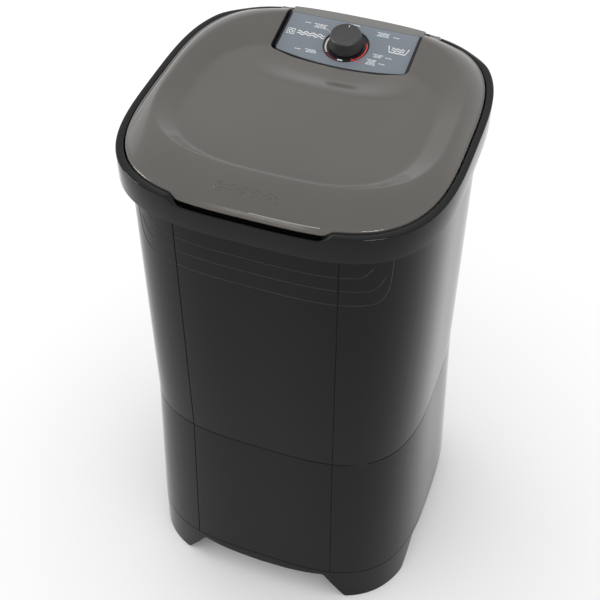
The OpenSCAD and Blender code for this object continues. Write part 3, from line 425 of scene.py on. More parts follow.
def merge(*parts):
    """One mesh out of several (points, faces)."""
    points, faces = [], []
    for more, new in parts:
        shift = len(points)
        points += more
        faces += [tuple(i + shift for i in f) for f in new]
    return points, faces


def box_part(low, high):
    points = [(x, y, z) for z in (low[2], high[2]) for y in (low[1], high[1]) for x in (low[0], high[0])]
    return points, [(0, 2, 3, 1), (4, 5, 7, 6), (0, 1, 5, 4), (2, 6, 7, 3), (0, 4, 6, 2), (1, 3, 7, 5)]


def cut(thing, points, faces):
    """Takes a closed shape out of a thing, for good."""
    data = mesh_of("cutter", points, faces, weld=False)
    tool = bpy.data.objects.new("cutter", data)
    bpy.context.scene.collection.objects.link(tool)
    step = thing.modifiers.new("cut", "BOOLEAN")
    step.object = tool
    step.operation = "DIFFERENCE"
    step.solver = "EXACT"
    bpy.context.view_layer.update()
    shape = thing.evaluated_get(bpy.context.evaluated_depsgraph_get())
    result = bpy.data.meshes.new_from_object(shape)
    thing.modifiers.remove(step)
    old = thing.data
    thing.data = result
    bpy.data.meshes.remove(old)
    bpy.data.objects.remove(tool)
    bpy.data.meshes.remove(data)


def smooth(t):
    t = min(1, max(0, t))
    return t * t * (3 - 2 * t)


def mix(p, q, u):
    return tuple(a + (b - a) * u for a, b in zip(p, q))


def rounded_square(a, b, t, n=RIM_N, cy=0.0):
    """Point at angle t of a rounded square with half sides a and b."""
    r = (abs(math.cos(t) / a) ** n + abs(math.sin(t) / b) ** n) ** (-1 / n)
    return r * math.cos(t), cy + r * math.sin(t)


def seam_angle(a, b, x):
    """Angle, from +X, of the outline's rear point at that x."""
    low, high = 0.0, math.pi / 2
    for _ in range(50):
        middle = (low + high) / 2
        if rounded_square(a, b, middle)[0] > x:
            low = middle
        else:
            high = middle
    return low


def side_y(a, b, x):
    """Half depth of the outline at that x."""
    return b * max(0, 1 - (abs(x) / a) ** RIM_N) ** (1 / RIM_N)


def wave(x, y, pitch, count, swing, length):
    """Plan points of a sine line from (x, y)."""
    return [(x + pitch * k, y + swing * math.sin(k * pitch * 2 * math.pi / length)) for k in range(count)]


# ------------------ cabinet panels


def panel_angles(which):
    turn = seam_angle(CAB_A, CAB_B, SEAM_X + (0.5 if which in ("left", "right") else -0.5) * SEAM_GAP)
    start, end = {"right": (-turn, turn),
                  "rear": (turn, math.pi - turn),
                  "left": (math.pi - turn, math.pi + turn),
                  "front": (math.pi + turn, 2 * math.pi - turn)}[which]
    return [start + (end - start) * i / (PANEL_COLUMNS - 1) for i in range(PANEL_COLUMNS)]


def panel_shell(which, levels):
    """Closed curved panel through (height, growth) levels."""
    angles = panel_angles(which)
    rings = []
    for z, grow in levels:
        outer = [rounded_square(CAB_A * grow, CAB_B * grow, t) for t in angles]
        inner = [rounded_square(CAB_A * grow - WALL, CAB_B * grow - WALL, t) for t in angles]
        rings.append([(x, y, z) for x, y in outer + inner[::-1]])
    return loft(rings)


def add_panels():
    top, low_top = PANEL_HIGH[2], LOWER_HIGH[2]
    for which in ("front", "left", "right", "rear"):
        levels = [(WAIST_Z + (top - WAIST_Z) * k / 8, 1) for k in range(9)]
        make("upper_" + which, *panel_shell(which, levels), BLACK,
             replaces=["upper_%s_panel" % which], slot="body_plastic", bevel=PANEL_EDGE)
        levels = [(BASE_Z + (low_top - BASE_Z) * k / 6, FLARE + (1 - FLARE) * k / 6) for k in range(7)]
        panel = make("lower_" + which, *panel_shell(which, levels), BLACK,
                     replaces=["lower_%s_panel" % which], slot="body_plastic")
        if which == "rear":
            cut_rear_openings(panel)
        finish_mesh(panel, PANEL_EDGE)


def cut_rear_openings(panel):
    """Round holes for the drain outlet and the cord gland, and a row of upright vent slots."""
    y0, y1 = REAR_CUT
    for x, z, r in REAR_HOLES:
        points, faces = revolve([(0, y0), (r, y0), (r, y1), (0, y1)], 48)
        cut(panel, [(px + x, pz, z - py) for px, py, pz in points], faces)
    for k in range(VENTS):
        x = (k - VENTS // 2) * VENT_PITCH
        cut(panel, *box_part((x - VENT_HALF, y0, VENT_Z[0]), (x + VENT_HALF, y1, VENT_Z[1])))


# Distance from the centre line and height of the three moulded lines
LINES = (
    ((0, 874), (142, 874), (160, 875), (170, 884), (176, 894)),
    ((0, 847), (158, 847), (176, 848), (187, 858), (192, 874)),
    ((0, 817), (166, 817), (186, 820), (196, 838), (199, 862), (200, 915)),
)


def rounded(line, rounds=4):
    """Corners cut off a broken line until it runs smoothly."""
    for _ in range(rounds):
        cut_line = [line[0]]
        for p, q in zip(line, line[1:]):
            cut_line += [mix(p, q, 0.25), mix(p, q, 0.75)]
        line = cut_line + [line[-1]]
    return line


def line_route(line, low, high, side):
    """Part of a moulded line that lies between two distances from the centre line."""
    points = [(low, line[0][1])] + [p for p in rounded(line) if low < p[0] <= high]
    if high < line[-1][0]:
        points.append((high, line[0][1]))
    fine = []
    for p, q in zip(points, points[1:]):
        steps = max(1, int(abs(q[0] - p[0]) / 5))
        fine += [mix(p, q, k / steps) for k in range(steps)]
    fine.append(points[-1])
    return [(side * x, -side_y(CAB_A, CAB_B, x), z) for x, z in fine]


def add_moulded_lines():
    """Thin raised lines that cross the front and turn up at the sides, broken at the panel seams."""
    gap, width = SEAM_GAP / 2 + 1.2, 0.5
    parts = []
    for line in LINES:
        parts.append(tube(line_route(line, 0, SEAM_X - gap, -1)[::-1]
                          + line_route(line, 0, SEAM_X - gap, 1)[1:], width))
        for side in (-1, 1):
            parts.append(tube(line_route(line, SEAM_X + gap, line[-1][0], side), width))
    # the lines' paler colour is a painted highlight
    make("moulded_lines", *merge(*parts), RIDGE_PAINTED_HIGHLIGHT, slot="body_plastic")


# ------------------ base


def arch_points(foot):
    """Half an arch as (distance from the middle, height): bowed top, round shoulder, slope, round foot."""
    shoulder = foot - 44
    line = [(0, ARCH_Z), (shoulder * 0.55, ARCH_Z + ARCH_RISE * 0.3),
            (shoulder - 13, ARCH_Z + ARCH_RISE * 0.8), (shoulder, ARCH_Z + ARCH_RISE),
            (foot - 37, ARCH_Z), (foot - 7, 11), (foot - 1, ARCH_END), (foot + 9, ARCH_END)]
    return rounded(line, 3)


def arch_height(u, line):
    """Height of the arch's edge at distance u from the middle of a side."""
    for (u0, z0), (u1, z1) in zip(line, line[1:]):
        if u <= u1:
            return z0 + (z1 - z0) * (u - u0) / (u1 - u0)
    return ARCH_END


def base_edge(x, y, line_x, line_y):
    """Lower edge of the base at a plan position."""
    if abs(y) > ARCH_Y + 10:
        return arch_height(abs(x), line_x)
    if abs(x) > ARCH_X + 10:
        return arch_height(abs(y), line_y)
    return ARCH_END


def add_base():
    """Arched skirt with a deck round its top, and four hollow feet."""
    count, levels = 1080, 7
    line_x, line_y = arch_points(ARCH_X), arch_points(ARCH_Y)
    outer, inner = [], []
    top = BASE_TOP
    deck_t, deck_in = 4, 34
    for k in range(levels):
        ring_out, ring_in = [], []
        for i in range(count):
            t = 2 * math.pi * i / count
            x, y = rounded_square(BASE_A * BASE_FOOT, BASE_B * BASE_FOOT, t)
            low = base_edge(x, y, line_x, line_y)
            z = low + (top - low) * k / (levels - 1)
            grow = BASE_FOOT + (1 - BASE_FOOT) * z / top
            ring_out.append(rounded_square(BASE_A * grow, BASE_B * grow, t) + (z,))
            ring_in.append(rounded_square(BASE_A * grow - BASE_WALL, BASE_B * grow - BASE_WALL, t) + (z,))
        outer.append(ring_out)
        inner.append(ring_in)
    deck = [[rounded_square(BASE_A - deck_in, BASE_B - deck_in, 2 * math.pi * i / count) + (z,)
             for i in range(count)] for z in (top, top - deck_t)]
    under = [(x, y, top - deck_t) for x, y, _ in inner[0]]
    rings = outer + deck + [under] + inner[-2::-1]
    skirt = loft(rings, join_ends=True)
    feet = []
    for sx in (-1, 1):
        for sy in (-1, 1):
            feet += foot_plate(sx, sy)
    make("base", *merge(skirt, *feet), BLACK, replaces=["base_skirt"], slot="body_plastic", bevel=1.6,
         sharp=50)


def foot_plate(sx, sy):
    """Floor and two inner walls of a hollow foot."""
    x0, y0 = ARCH_X - 2, ARCH_Y - 2
    a, b = BASE_A - 2, BASE_B - 2
    low, high = 4, 80
    x1, y1 = side_y(b, a, y0), side_y(a, b, x0)
    curve = [rounded_square(a, b, math.pi / 2 * i / 24) for i in range(25)]
    outline = [(x0, y0), (x1, y0)] + [p for p in curve if p[0] > x0 and p[1] > y0] + [(x0, y1)]
    floor = prism([(sx * x, sy * y) for x, y in outline], low, low + FOOT_T)
    wall_x = box_part(*sorted_box((sx * x0, sy * y0, low), (sx * (x0 + FOOT_T), sy * y1, high)))
    wall_y = box_part(*sorted_box((sx * x0, sy * y0, low), (sx * x1, sy * (y0 + FOOT_T), high)))
    return [floor, wall_x, wall_y]


def sorted_box(p, q):
    return tuple(min(a, b) for a, b in zip(p, q)), tuple(max(a, b) for a, b in zip(p, q))


# ------------------ collar


def scoop_share(x, y):
    """1 in the finger scoop, 0 away from it, with ramps between."""
    if y > 0:
        return 0
    return 1 - smooth((abs(x) - SCOOP_X) / SCOOP_RAMP)


def collar_angles():
    angles = [2 * math.pi * i / 288 for i in range(288)]
    for x in range(SCOOP_X - 4, SCOOP_X + SCOOP_RAMP + 4):
        turn = seam_angle(RIM_A, RIM_B, x)
        angles += [2 * math.pi - turn, math.pi + turn]
    return sorted(angles)


def collar_profile(s, rear):
    """(inset, height) round the collar's section; s is the scoop's share, rear the rear roll-off's."""
    top = RIM_Z - SCOOP_DROP * s
    band = COLLAR_TOP + (SKIRT_T + 0.4 - COLLAR_TOP) * s
    fillet = 1.8 - 1.1 * s + 7.4 * rear
    floor = LEDGE_Z + (TROUGH_Z - LEDGE_Z) * s
    drop = min(1, max(0, (s - 0.15) / 0.15))
    reach = min(1, max(0, (s - 0.3) / 0.15))
    back = 8 + 11 * reach
    under = RIM_Z - 4 + (TROUGH_Z - 3 - RIM_Z + 4) * drop - 6 * rear
    profile = [(SKIRT_T, SKIRT_Z + 1), (SKIRT_T - 0.8, SKIRT_Z), (0.9, SKIRT_Z), (0.2, SKIRT_Z + 0.5),
               (0, SKIRT_Z + 2)]
    for k in range(9):
        t = math.pi / 2 * k / 8
        profile.append((fillet * (1 - math.cos(t)), top - fillet * (1 - math.sin(t))))
    profile += [(band - 0.6, top), (band - 0.2, top - 0.2), (band, top - 0.6)]
    profile += [(band, floor + 2.2), (band + 0.3, floor + 1), (band + 1.2, floor + 0.2),
                (band + 2.4, floor)]
    profile += [(14 + 1.2 * s, floor), (14.6 + 1.2 * s, floor + 0.8 * s),
                (14.8 + 1.2 * s, LEDGE_Z - 1.5 * s), (16 + 0.8 * s, LEDGE_Z), (22, LEDGE_Z)]
    return profile, [(back, LEDGE_Z - LEDGE_T), (back, under), (SKIRT_T, under)]


def add_collar():
    """Collar in one skin from the skirt over the rim to the tub's mouth, with the console's opening."""
    columns = []
    for t in collar_angles():
        x, y = rounded_square(RIM_A, RIM_B, t)
        above, below = collar_profile(scoop_share(x, y), smooth((y / RIM_B - 0.72) / 0.16))
        column = [rounded_square(RIM_A - off, RIM_B - off, t) + (z,) for off, z in above]
        mouth = rounded_square(TUB_A, TUB_B, t, cy=TUB_CY)
        column += [mix(column[-1], mouth + (LEDGE_Z,), 0.97), mouth + (LEDGE_Z - 0.6,),
                   mouth + (LEDGE_Z - LEDGE_T,)]
        column += [rounded_square(RIM_A - off, RIM_B - off, t) + (z,) for off, z in below]
        columns.append(column)
    rings = [list(ring) for ring in zip(*columns)]
    collar = make("collar", *loft(rings, join_ends=True), COLLAR, replaces=["top_collar"],
                  slot="collar_plastic")
    cut(collar, *box_part((-100, 128, LEDGE_Z - 14), (100, 238, LEDGE_Z + 3)))
    for side in (-1, 1):
        middle = side * (TAB_X + TAB_W / 2)
        half = TAB_W / 2 + 0.9
        cut(collar, *box_part((middle - half, 233, LEDGE_Z), (middle + half, HINGE_Y + 4.8, RIM_Z + 9)))
    finish_mesh(collar, sharp=40)
    add_well()


def add_well():
    """Open box under the ledge that holds the timer."""
    (x0, y0, z0), (x1, y1, z1) = (-102.5, 125.5, COLLAR_LOW[2]), (102.5, 240.5, LEDGE_Z - 0.2)
    t = 2.5
    parts = [box_part((x0, y0, z0), (x1, y1, z0 + t)),
             box_part((x0, y0, z0), (x0 + t, y1, z1)),
             box_part((x1 - t, y0, z0), (x1, y1, z1)),
             box_part((x0, y0, z0), (x1, y0 + t, z1)),
             box_part((x0, y1 - t, z0), (x1, y1, z1))]
    make("console_well", *merge(*parts), COLLAR, slot="collar_plastic")


# ------------------ lid


def half_ring(a, front, back, n, cy, t):
    return rounded_square(a, front if math.sin(t) < 0 else back, t, n, cy)


def surround_rise(x, y):
    """Shallow dip in front of the console, inside a soft U-shaped edge."""
    e = (abs(x / 134) ** 3 + (max(0, 125 - y) / 76) ** 3) ** (1 / 3)
    back = 1 - smooth((y - 200) / 30)
    return (0.6 * smooth((1.1 - e) / 0.14) - 6 * smooth((1.02 - e) / 0.55)) * back


# (inset, height above the rim) of the lid's edge: plain, and where it becomes the pull lip
EDGE = ((0, -12), (0, -8), (0, -4), (0, -0.6), (0.05, 0.5), (0.3, 1.4), (0.9, 2.2), (1.6, 2.6),
        (2.3, 2.9))
LIP = ((1.5, -12), (0.5, -8), (-2.9, -6.9), (-3.8, -6.2), (-4.1, -5.3), (-3.7, -4.5), (1.2, 0.5),
       (1.9, 1.35), (2.7, 1.45))


def lip_share(x, y):
    """1 along the pull lip, 0 away from it."""
    return smooth((LIP_X - abs(x)) / 21) if y < 0 else 0


def lid_column(t):
    """Upper surface from the skirt's foot to the centre of the dish."""
    x, y = rounded_square(LID_A, LID_B, t)
    lip = lip_share(x, y)
    clearance = 1.6 * smooth((y - 222) / 16)
    column = []
    for plain, pulled in zip(EDGE, LIP):
        off, rise = mix(plain, pulled, lip)
        off += clearance
        column.append(rounded_square(LID_A - off, LID_B - off, t) + (RIM_Z + rise,))
    start = rounded_square(LID_A - 3.2 - clearance, LID_B - 3.2 - clearance, t)
    crest = half_ring(DISH_A, DISH_FRONT, DISH_BACK, DISH_N, DISH_CY, t)
    foot = half_ring(FLOOR_A, FLOOR_FRONT, FLOOR_BACK, FLOOR_N, 0, t)
    band = math.dist(start, crest)
    slope = math.dist(crest, foot)

    def on_band(v):
        dip = 2 * lip * (1 - smooth(v * band / 15))
        return mix(start, crest, v) + (RIM_Z + 3 - dip + (DISH_Z - RIM_Z - 3) * (1 - (1 - v) ** 2),)

    def on_slope(v):
        return mix(crest, foot, v) + (DISH_Z + (FLOOR_Z - DISH_Z) * v,)

    def bend(p, q, r, steps):
        return [mix(mix(p, q, k / steps), mix(q, r, k / steps), k / steps) for k in range(steps + 1)]

    lead, tail = 3 / band, 2.6 / slope
    column += [on_band((1 - lead) * k / 18) for k in range(18)]
    column += bend(on_band(1 - lead), crest + (DISH_Z,), on_slope(tail), 6)
    v1 = 1 - 5 / slope
    column += [on_slope(tail + (v1 - tail) * k / 6) for k in range(1, 6)]
    flat = mix(foot, (0, 0), 7 / math.hypot(*foot)) + (FLOOR_Z,)
    column += bend(on_slope(v1), foot + (FLOOR_Z,), flat, 6)
    column += [mix(flat, FLOOR_MIDDLE, k / 26) for k in range(1, 26)]
    return [(x, y, z + surround_rise(x, y)) for x, y, z in column]


def lid_columns():
    columns = []
    angles = [2 * math.pi * i / 360 for i in range(360)]
    for x in range(100, 130):
        turn = seam_angle(LID_A, LID_B, x)
        angles += [2 * math.pi - turn, math.pi + turn]
    for t in sorted(angles):
        upper = lid_column(t)
        inner = [rounded_square(LID_A - LID_T, LID_B - LID_T, t) + (z,) for z in (RIM_Z - 4, LID_LOW)]
        lower = [(x, y, z - LID_T) for x, y, z in upper[10::3]]
        columns.append(upper + lower[::-1] + inner)
    return columns


def console_outline(side, front):
    """Plan of the console, or of the notch round it: (x, y) from the rear right, round the front."""
    steps, bow = 12, 32
    half = CONSOLE_X + side
    r = 10 + side
    y1 = CONSOLE_SIDE - 9.6 - front
    y0 = CONSOLE_FRONT - front
    right = []
    for k in range(steps + 1):
        t = -math.pi / 2 * k / steps
        right.append((half - r + r * math.cos(t), y1 + r + r * math.sin(t)))
    middle = []
    for k in range(1, bow):
        u = 1 - 2 * k / bow
        middle.append((u * (half - r), y0 + (y1 - y0) * u * u))
    left = [(-x, y) for x, y in right[::-1]]
    return right + middle + left


def notch_outline():
    plan = console_outline(3, 9)
    return [(plan[0][0], 330)] + plan + [(plan[-1][0], 330)]


def lid_height(x, y):
    """Height of the lid's upper surface near the console, by the blend of its rings."""
    t = math.atan2(y, x)
    column = lid_column(t)
    reach = math.hypot(x, y)
    for p, q in zip(column, column[1:]):
        rp, rq = math.hypot(p[0], p[1]), math.hypot(q[0], q[1])
        if rq <= reach <= rp:
            u = (rp - reach) / max(1e-6, rp - rq)
            return p[2] + (q[2] - p[2]) * u
    return column[9][2]


def add_lid():
    columns = lid_columns()
    rings = [list(ring) for ring in zip(*columns)]
    upper = len(lid_column(0))
    points, faces = loft(rings, join_ends=True)
    count = len(columns)
    for row in (upper - 1, upper):
        faces.append(tuple(row * count + i for i in range(count)))
    faces = [f for f in faces if not bridges(f, upper, count)]
    lid = make("lid_shell", points, faces, LID, body="lid", replaces=["lid"], slot="lid_plastic")
    cut(lid, *prism(notch_outline(), RIM_Z - 40, RIM_Z + 60))
    finish_mesh(lid, sharp=32)
    add_notch_edge()
    add_lip_bead()
    add_notch_flange()
    add_tabs()
    add_emblem()


def bridges(face, upper, count):
    """True for the side quads between the last upper and the first lower row."""
    rows = {i // count for i in face}
    return rows == {upper - 1, upper}


def notch_path():
    """Edge of the notch from the rear right, round the front, to the rear left."""
    path = [p for p in notch_outline() if p[1] < 300]
    rear = [(path[0][0], y) for y in range(NOTCH_REAR, int(path[0][1]) + 1, -4)]
    return rear + path + [(-x, y) for x, y in rear[::-1]]


def along_notch(section):
    """Strip that follows the notch; section is (distance into the lid, height from its top).

    Where the height is None, the point is at the lid's lowest level.
    """
    path = notch_path()
    rings = []
    for k, (x, y) in enumerate(path):
        before, after = path[max(k - 1, 0)], path[min(k + 1, len(path) - 1)]
        along = Vector((after[0] - before[0], after[1] - before[1])).normalized()
        out = (-along[1], along[0])
        ring = []
        for off, lift in section:
            px, py = x + out[0] * (off - 0.15), y + out[1] * (off - 0.15)
            ring.append((px, py, LID_LOW if lift is None else lid_height(px, py) + lift))
        rings.append(ring)
    return loft(rings)


def add_notch_edge():
    """Rounded edge round the notch."""
    edge = ((0.2, -2.6), (0, -2.2), (0, -0.9), (0.35, -0.25), (0.9, 0.02), (1.7, 0.03), (2.4, -0.6),
            (2.4, -2.6))
    make("lid_notch_edge", *along_notch(edge), LID, body="lid", slot="lid_plastic")


def add_lip_bead():
    """Thin bead in the crease above the pull lip, on its right half; paler as a painted highlight."""
    a, b = LID_A - BEAD_INSET, LID_B - BEAD_INSET
    crease = []
    for x in range(BEAD_X + 1):
        t = -seam_angle(a, b, x) if x else -math.pi / 2
        crease.append(rounded_square(a, b, t) + (RIM_Z + 1.4,))
    make("lid_lip_bead", *tube(crease, 0.8), BEAD_PAINTED_HIGHLIGHT, body="lid", slot="lid_plastic")


def add_notch_flange():
    """Flange turned down below the notch's edge, dark as painted shade in the gap round the console."""
    wall = ((0.3, None), (0.3, -2.3), (2.2, -2.3), (2.2, None))
    # the dark material here is painted shade for the gap round the console
    make("lid_notch_flange", *along_notch(wall), DARK, body="lid", slot="dark_plastic")


def add_tabs():
    """Hinge tongues: the lid's band runs out to a knuckle round the pin."""
    r = 4.4
    outline = [(230, RIM_Z - 5), (HINGE_Y - 4, RIM_Z - 6)]
    for k in range(11):
        t = -math.pi * 0.7 + math.pi * 1.15 * k / 10
        outline.append((HINGE_Y + r * math.cos(t), HINGE_Z + r * math.sin(t)))
    outline += [(HINGE_Y - 3.4, HINGE_Z + r), (HINGE_Y - 6.5, HINGE_Z + r + 1),
                (HINGE_Y - 13, RIM_Z + 4), (230, RIM_Z + 6)]
    parts = []
    for side in (-1, 1):
        middle = side * (TAB_X + TAB_W / 2)
        parts.append(prism(outline, middle - TAB_W / 2 + 1, middle + TAB_W / 2 - 1, axis="x"))
    make("lid_tabs", *merge(*parts), LID, body="lid", slot="lid_plastic", bevel=0.7)


def add_emblem():
    """Plain embossed mark on the lid's front: two rings, one inside the other, and two long waves."""
    width, sink = 1.1, 0.15

    def embossed(route, closed):
        return tube([(x, y, lid_height(x, y) - sink) for x, y in route], width, closed=closed)

    turn = [2 * math.pi * k / 40 for k in range(40)]
    parts = []
    for rx, ry in ((8.5, 7.5), (3.2, 3)):
        parts.append(embossed([(-55 + rx * math.cos(t), -224 + ry * math.sin(t)) for t in turn], True))
    for y in (-220, -228):
        parts.append(embossed(wave(-40, y, 0.9, 84, 2.8, 19), False))
    make("lid_emblem", *merge(*parts), LID, body="lid", slot="lid_plastic")


# ------------------ console


def plane_z(y):
    return PANEL_Z + (y - CONSOLE_FRONT) * math.tan(TILT)


def tilted(x, y, h):
    """Point at panel coordinates from the knob's axis, h above the panel."""
    return (x, KNOB_Y + y * math.cos(TILT) - h * math.sin(TILT),
            KNOB_Z + y * math.sin(TILT) + h * math.cos(TILT))


def console_rear(x):
    return side_y(RIM_A, RIM_B, x) - COLLAR_TOP - 2


def front_of(outline, x):
    """Front edge of a plan outline at that x."""
    ys = []
    for (x0, y0), (x1, y1) in zip(outline, outline[1:]):
        if min(x0, x1) <= x <= max(x0, x1) and abs(x1 - x0) > 1e-9:
            ys.append(y0 + (y1 - y0) * (x - x0) / (x1 - x0))
    return min(ys)


def strip_z(x, y):
    """Rear strip: crowned, falling a little to the rear and the sides."""
    v = (y - STRIP_Y) / 28
    return RIM_Z + STRIP_RISE + 1.2 * (1 - v * v) - 1.2 * (x / CONSOLE_X) ** 2 - 0.6


def console_columns(front_y, rear_y, top):
    """Crowned block across the console; top(x, y) gives its height."""
    steps = 72
    round_front, round_rear = 1.1, 2.4
    columns = []
    for k in range(steps + 1):
        x = (CONSOLE_X - 0.001) * math.sin(math.pi / 2 * (-1 + 2 * k / steps))
        y0, y1 = front_y(x), rear_y(x)
        column = [(x, y0, LEDGE_Z), (x, y0, top(x, y0) - round_front), (x, y0 + 0.35, top(x, y0) - 0.35),
                  (x, y0 + round_front, top(x, y0 + round_front))]
        column += [(x, y0 + (y1 - y0) * j / 12, top(x, y0 + (y1 - y0) * j / 12)) for j in range(1, 12)]
        column += [(x, y1 - round_rear, top(x, y1)), (x, y1 - 1.2, top(x, y1) - 0.35),
                   (x, y1 - 0.4, top(x, y1) - 1.1), (x, y1, top(x, y1) - 2.4), (x, y1, LEDGE_Z)]
        columns.append(column)
    return loft(columns)


def add_console():
    """Bezel and rear strip, then the label, the dial, the knob and the print."""
    outline = console_outline(0, 0)
    bezel = make("console_bezel", *console_columns(lambda x: front_of(outline, x), lambda x: STRIP_Y + 1,
                                                   lambda x, y: plane_z(y) - 0.5), DARK,
                 replaces=["console_housing"], slot="grey_plastic")
    hollow = [(x * 0.97, 3.5 + y * 0.985 if y < 200 else y) for x, y in outline]
    hollow = [(hollow[0][0], 224)] + hollow + [(hollow[-1][0], 224)]
    cut(bezel, *prism(hollow, LEDGE_Z - 2, LEDGE_Z + 2.5))
    cut(bezel, *dial_hole(0.1, -30))
    finish_mesh(bezel, sharp=45)
    make("console_strip", *console_columns(lambda x: STRIP_Y, console_rear, strip_z), HOUSING,
         slot="grey_plastic", bevel=0.9, sharp=50)
    add_label()
    add_dial()
    add_knob()
    add_print()


def dial_hole(gap, low):
    """Cutter for the dial's round opening."""
    r = DIAL_R + gap
    return revolve([(0, low), (r, low), (r, 20), (0, 20)], 96, lambda p: tilted(*p))


def add_label():
    outline = console_outline(-4, -2.3)
    rear = [(x, STRIP_Y - 1.4) for x in (outline[-1][0], outline[0][0])]
    plan = outline + rear
    rings = [[(x, y, plane_z(y) + h) for x, y in plan] for h in (-1.8, 0.02)]
    label = make("label", *loft(rings), LABEL, replaces=["control_panel"], slot="panel_film")
    cut(label, *dial_hole(0.2, -20))
    finish_mesh(label, 0.35, 40, segments=2)


def add_dial():
    r = DIAL_R
    profile = [(5.5, -5), (r, -5), (r, -0.9), (r - 0.3, -0.3), (r - 0.8, -0.1), (r - 1.4, -0.3),
               (r - 2.2, -1.4), (r - 3, -1.9), (r - 4, -2), (5.5, -2.2)]
    rings = [[tilted(*p) for p in circle(q, z, 128)] for q, z in profile]
    make("dial_recess", *loft(rings, join_ends=True), DARK, replaces=["dial_ring"], slot="dark_plastic")


def add_knob():
    r, h, lift = KNOB_R, KNOB_H, KNOB_LIFT
    top = r - 3.2
    profile = [(0.01, 0.2), (7, 0.2), (7, 6), (r - 5, 6), (r - 5, 0.6), (r - 4.4, 0), (r - 0.9, 0),
               (r - 0.25, 0.3), (r, 1), (r - 0.12, 2), (top + 1.1, h - 3.2), (top + 0.75, h - 1.9),
               (top + 0.2, h - 0.9), (top - 0.7, h - 0.2), (top - 1.8, h), (top - 2.8, h - 0.12),
               (top - 4.2, h - 0.5), (top - 8, h - 0.8), (8, h - 0.95), (0.01, h - 1)]
    points, faces = revolve(profile, 128, lambda p: tilted(p[0], p[1], p[2] + lift))
    make("knob", points, faces, KNOB, body="timer_dial", replaces=["timer_knob"], slot="knob_plastic",
         sharp=50)
    mark = [(-0.6, 17.2), (0.6, 17.2), (0.6, 21.6), (-0.6, 21.6)]
    rings = [[tilted(x, y, lift + h - 0.9 + z) for x, y in mark] for z in (0, 0.55)]
    make("knob_pointer", *loft(rings), PRINT, body="timer_dial", slot="knob_plastic", bevel=0.15)


def bar(x0, x1, y, thick):
    """Printed dash on the label, in plan coordinates."""
    pts = [(x0, y - thick / 2), (x1, y - thick / 2), (x1, y + thick / 2), (x0, y + thick / 2)]
    return loft([[(px, py, plane_z(py) + h) for px, py in pts] for h in (0, PRINT_H)])


def arc_band(r0, r1, start, end, low, high, steps=40):
    """Printed sector round the knob's axis; angles in degrees, heights above the panel."""
    ring = []
    for r, order in ((r0, 1), (r1, -1)):
        turn = [math.radians(start + (end - start) * k / steps) for k in range(steps + 1)][::order]
        ring += [(r * math.cos(t), r * math.sin(t)) for t in turn]
    return loft([[tilted(x, y, h) for x, y in ring] for h in (low, high)])


def dashes(x0, x1, y, rows, pitch, thick, gaps):
    """Rows of short dashes that stand in for printed words."""
    parts = []
    for row in range(rows):
        place = x0 + 2.5 * ((row * 3) % 4) / 2
        k = row
        while place < x1 - 3:
            length = gaps[k % len(gaps)]
            parts.append(bar(place, min(x1, place + length), y - row * pitch, thick))
            place += length + 1.1
            k += 1
    return parts


def drawn(route, width, lift=0.05, closed=False):
    """Printed line on the label through plan points."""
    return tube([(x, y, plane_z(y) + lift) for x, y in route], width, 6, closed)


def leader(*points):
    return drawn(points, 0.35, 0.1)


def add_print():
    """Generic signs, dashes in place of words, leader lines, and the coloured bands in the dial."""
    white = []
    for x0, x1, y, rows in ((-66, -42, 211, 4), (40, 62, 219, 4), (48, 66, 170, 3), (42, 58, 157, 5),
                            (-62, -42, 152, 3)):
        white += dashes(x0, x1, y, rows, 2.6, 1.15, (5, 3.2, 7, 4))
    for x0, x1, y in ((-82, -71, 210), (69, 79, 214), (70, 80, 167), (63, 74, 152), (-79, -68, 149)):
        white += dashes(x0, x1, y, 1, 2.6, 1.3, (3.4, 5.5))
    white += dashes(-9, 11, 224.6, 1, 2.4, 1.5, (4, 6, 5))
    icon = [(-104, 178), (-92, 178), (-92, 190), (-104, 190)]
    white.append(drawn(icon, 0.9, closed=True))
    white.append(drawn([(-98 + x, 184 + y) for x, y, _ in circle(3.2, 0, 32)], 0.8, closed=True))
    for y in (182.2, 187):
        white.append(drawn(wave(-87, y, 0.75, 64, 1.7, 12), 0.95))
    white.append(drawn([(68, 194), (71.5, 181), (98.5, 181), (102, 194)], 1.15))
    for y in (190.5, 186):
        white.append(drawn(wave(74, y, 0.7, 32, 1.1, 8), 0.85))
    make("print_white", *merge(*white), PRINT, slot="panel_film")
    coloured = (
        ("cream", CREAM, "dark_plastic", [arc_band(32.2, 35.8, 150, 218, *DIAL_PRINT)]),
        ("red", RED, "dark_plastic", [arc_band(33.2, 35.8, -60, 24, *DIAL_PRINT),
                                      leader((17, 151), (26, 146.5), (38, 147))]),
        ("maroon", MAROON, "dark_plastic", [arc_band(33.6, 35.8, 222, 262, *DIAL_PRINT),
                                            leader((-42, 152), (-34, 154.5), (-26, 158))]),
        ("teal", TEAL, "panel_film", [leader((33, 198), (37, 206), (40, 212), (40, 212.5), (62, 213))]),
        ("pale", CREAM, "panel_film", [leader((-42, 203), (-37, 201), (-33, 196))]),
        ("off_mark", PRINT, "dark_plastic", [arc_band(31.5, 34.2, 262, 277, -1.9, -1.72, 6)]),
    )
    for name, material, slot, parts in coloured:
        make("print_" + name, *merge(*parts), material, slot=slot)


# ------------------ wash tub


def tub_ring(inset, z, columns, rib=0.0):
    """One ring of the tub's wall; rib is the height of the moulded ribs there."""
    u = min(1, max(0, (TUB_TOP - z) / (TUB_TOP - TUB_FLOOR - TUB_ROUND)))
    ring = []
    for i in range(columns):
        t = 2 * math.pi * i / columns
        bump = max(0, math.cos(t * 16)) ** 10 * rib
        ring.append(rounded_square(TUB_A + (TUB_LOW_A - TUB_A) * u - inset - bump,
                                   TUB_B + (TUB_LOW_B - TUB_B) * u - inset - bump, t, cy=TUB_CY) + (z,))
    return ring


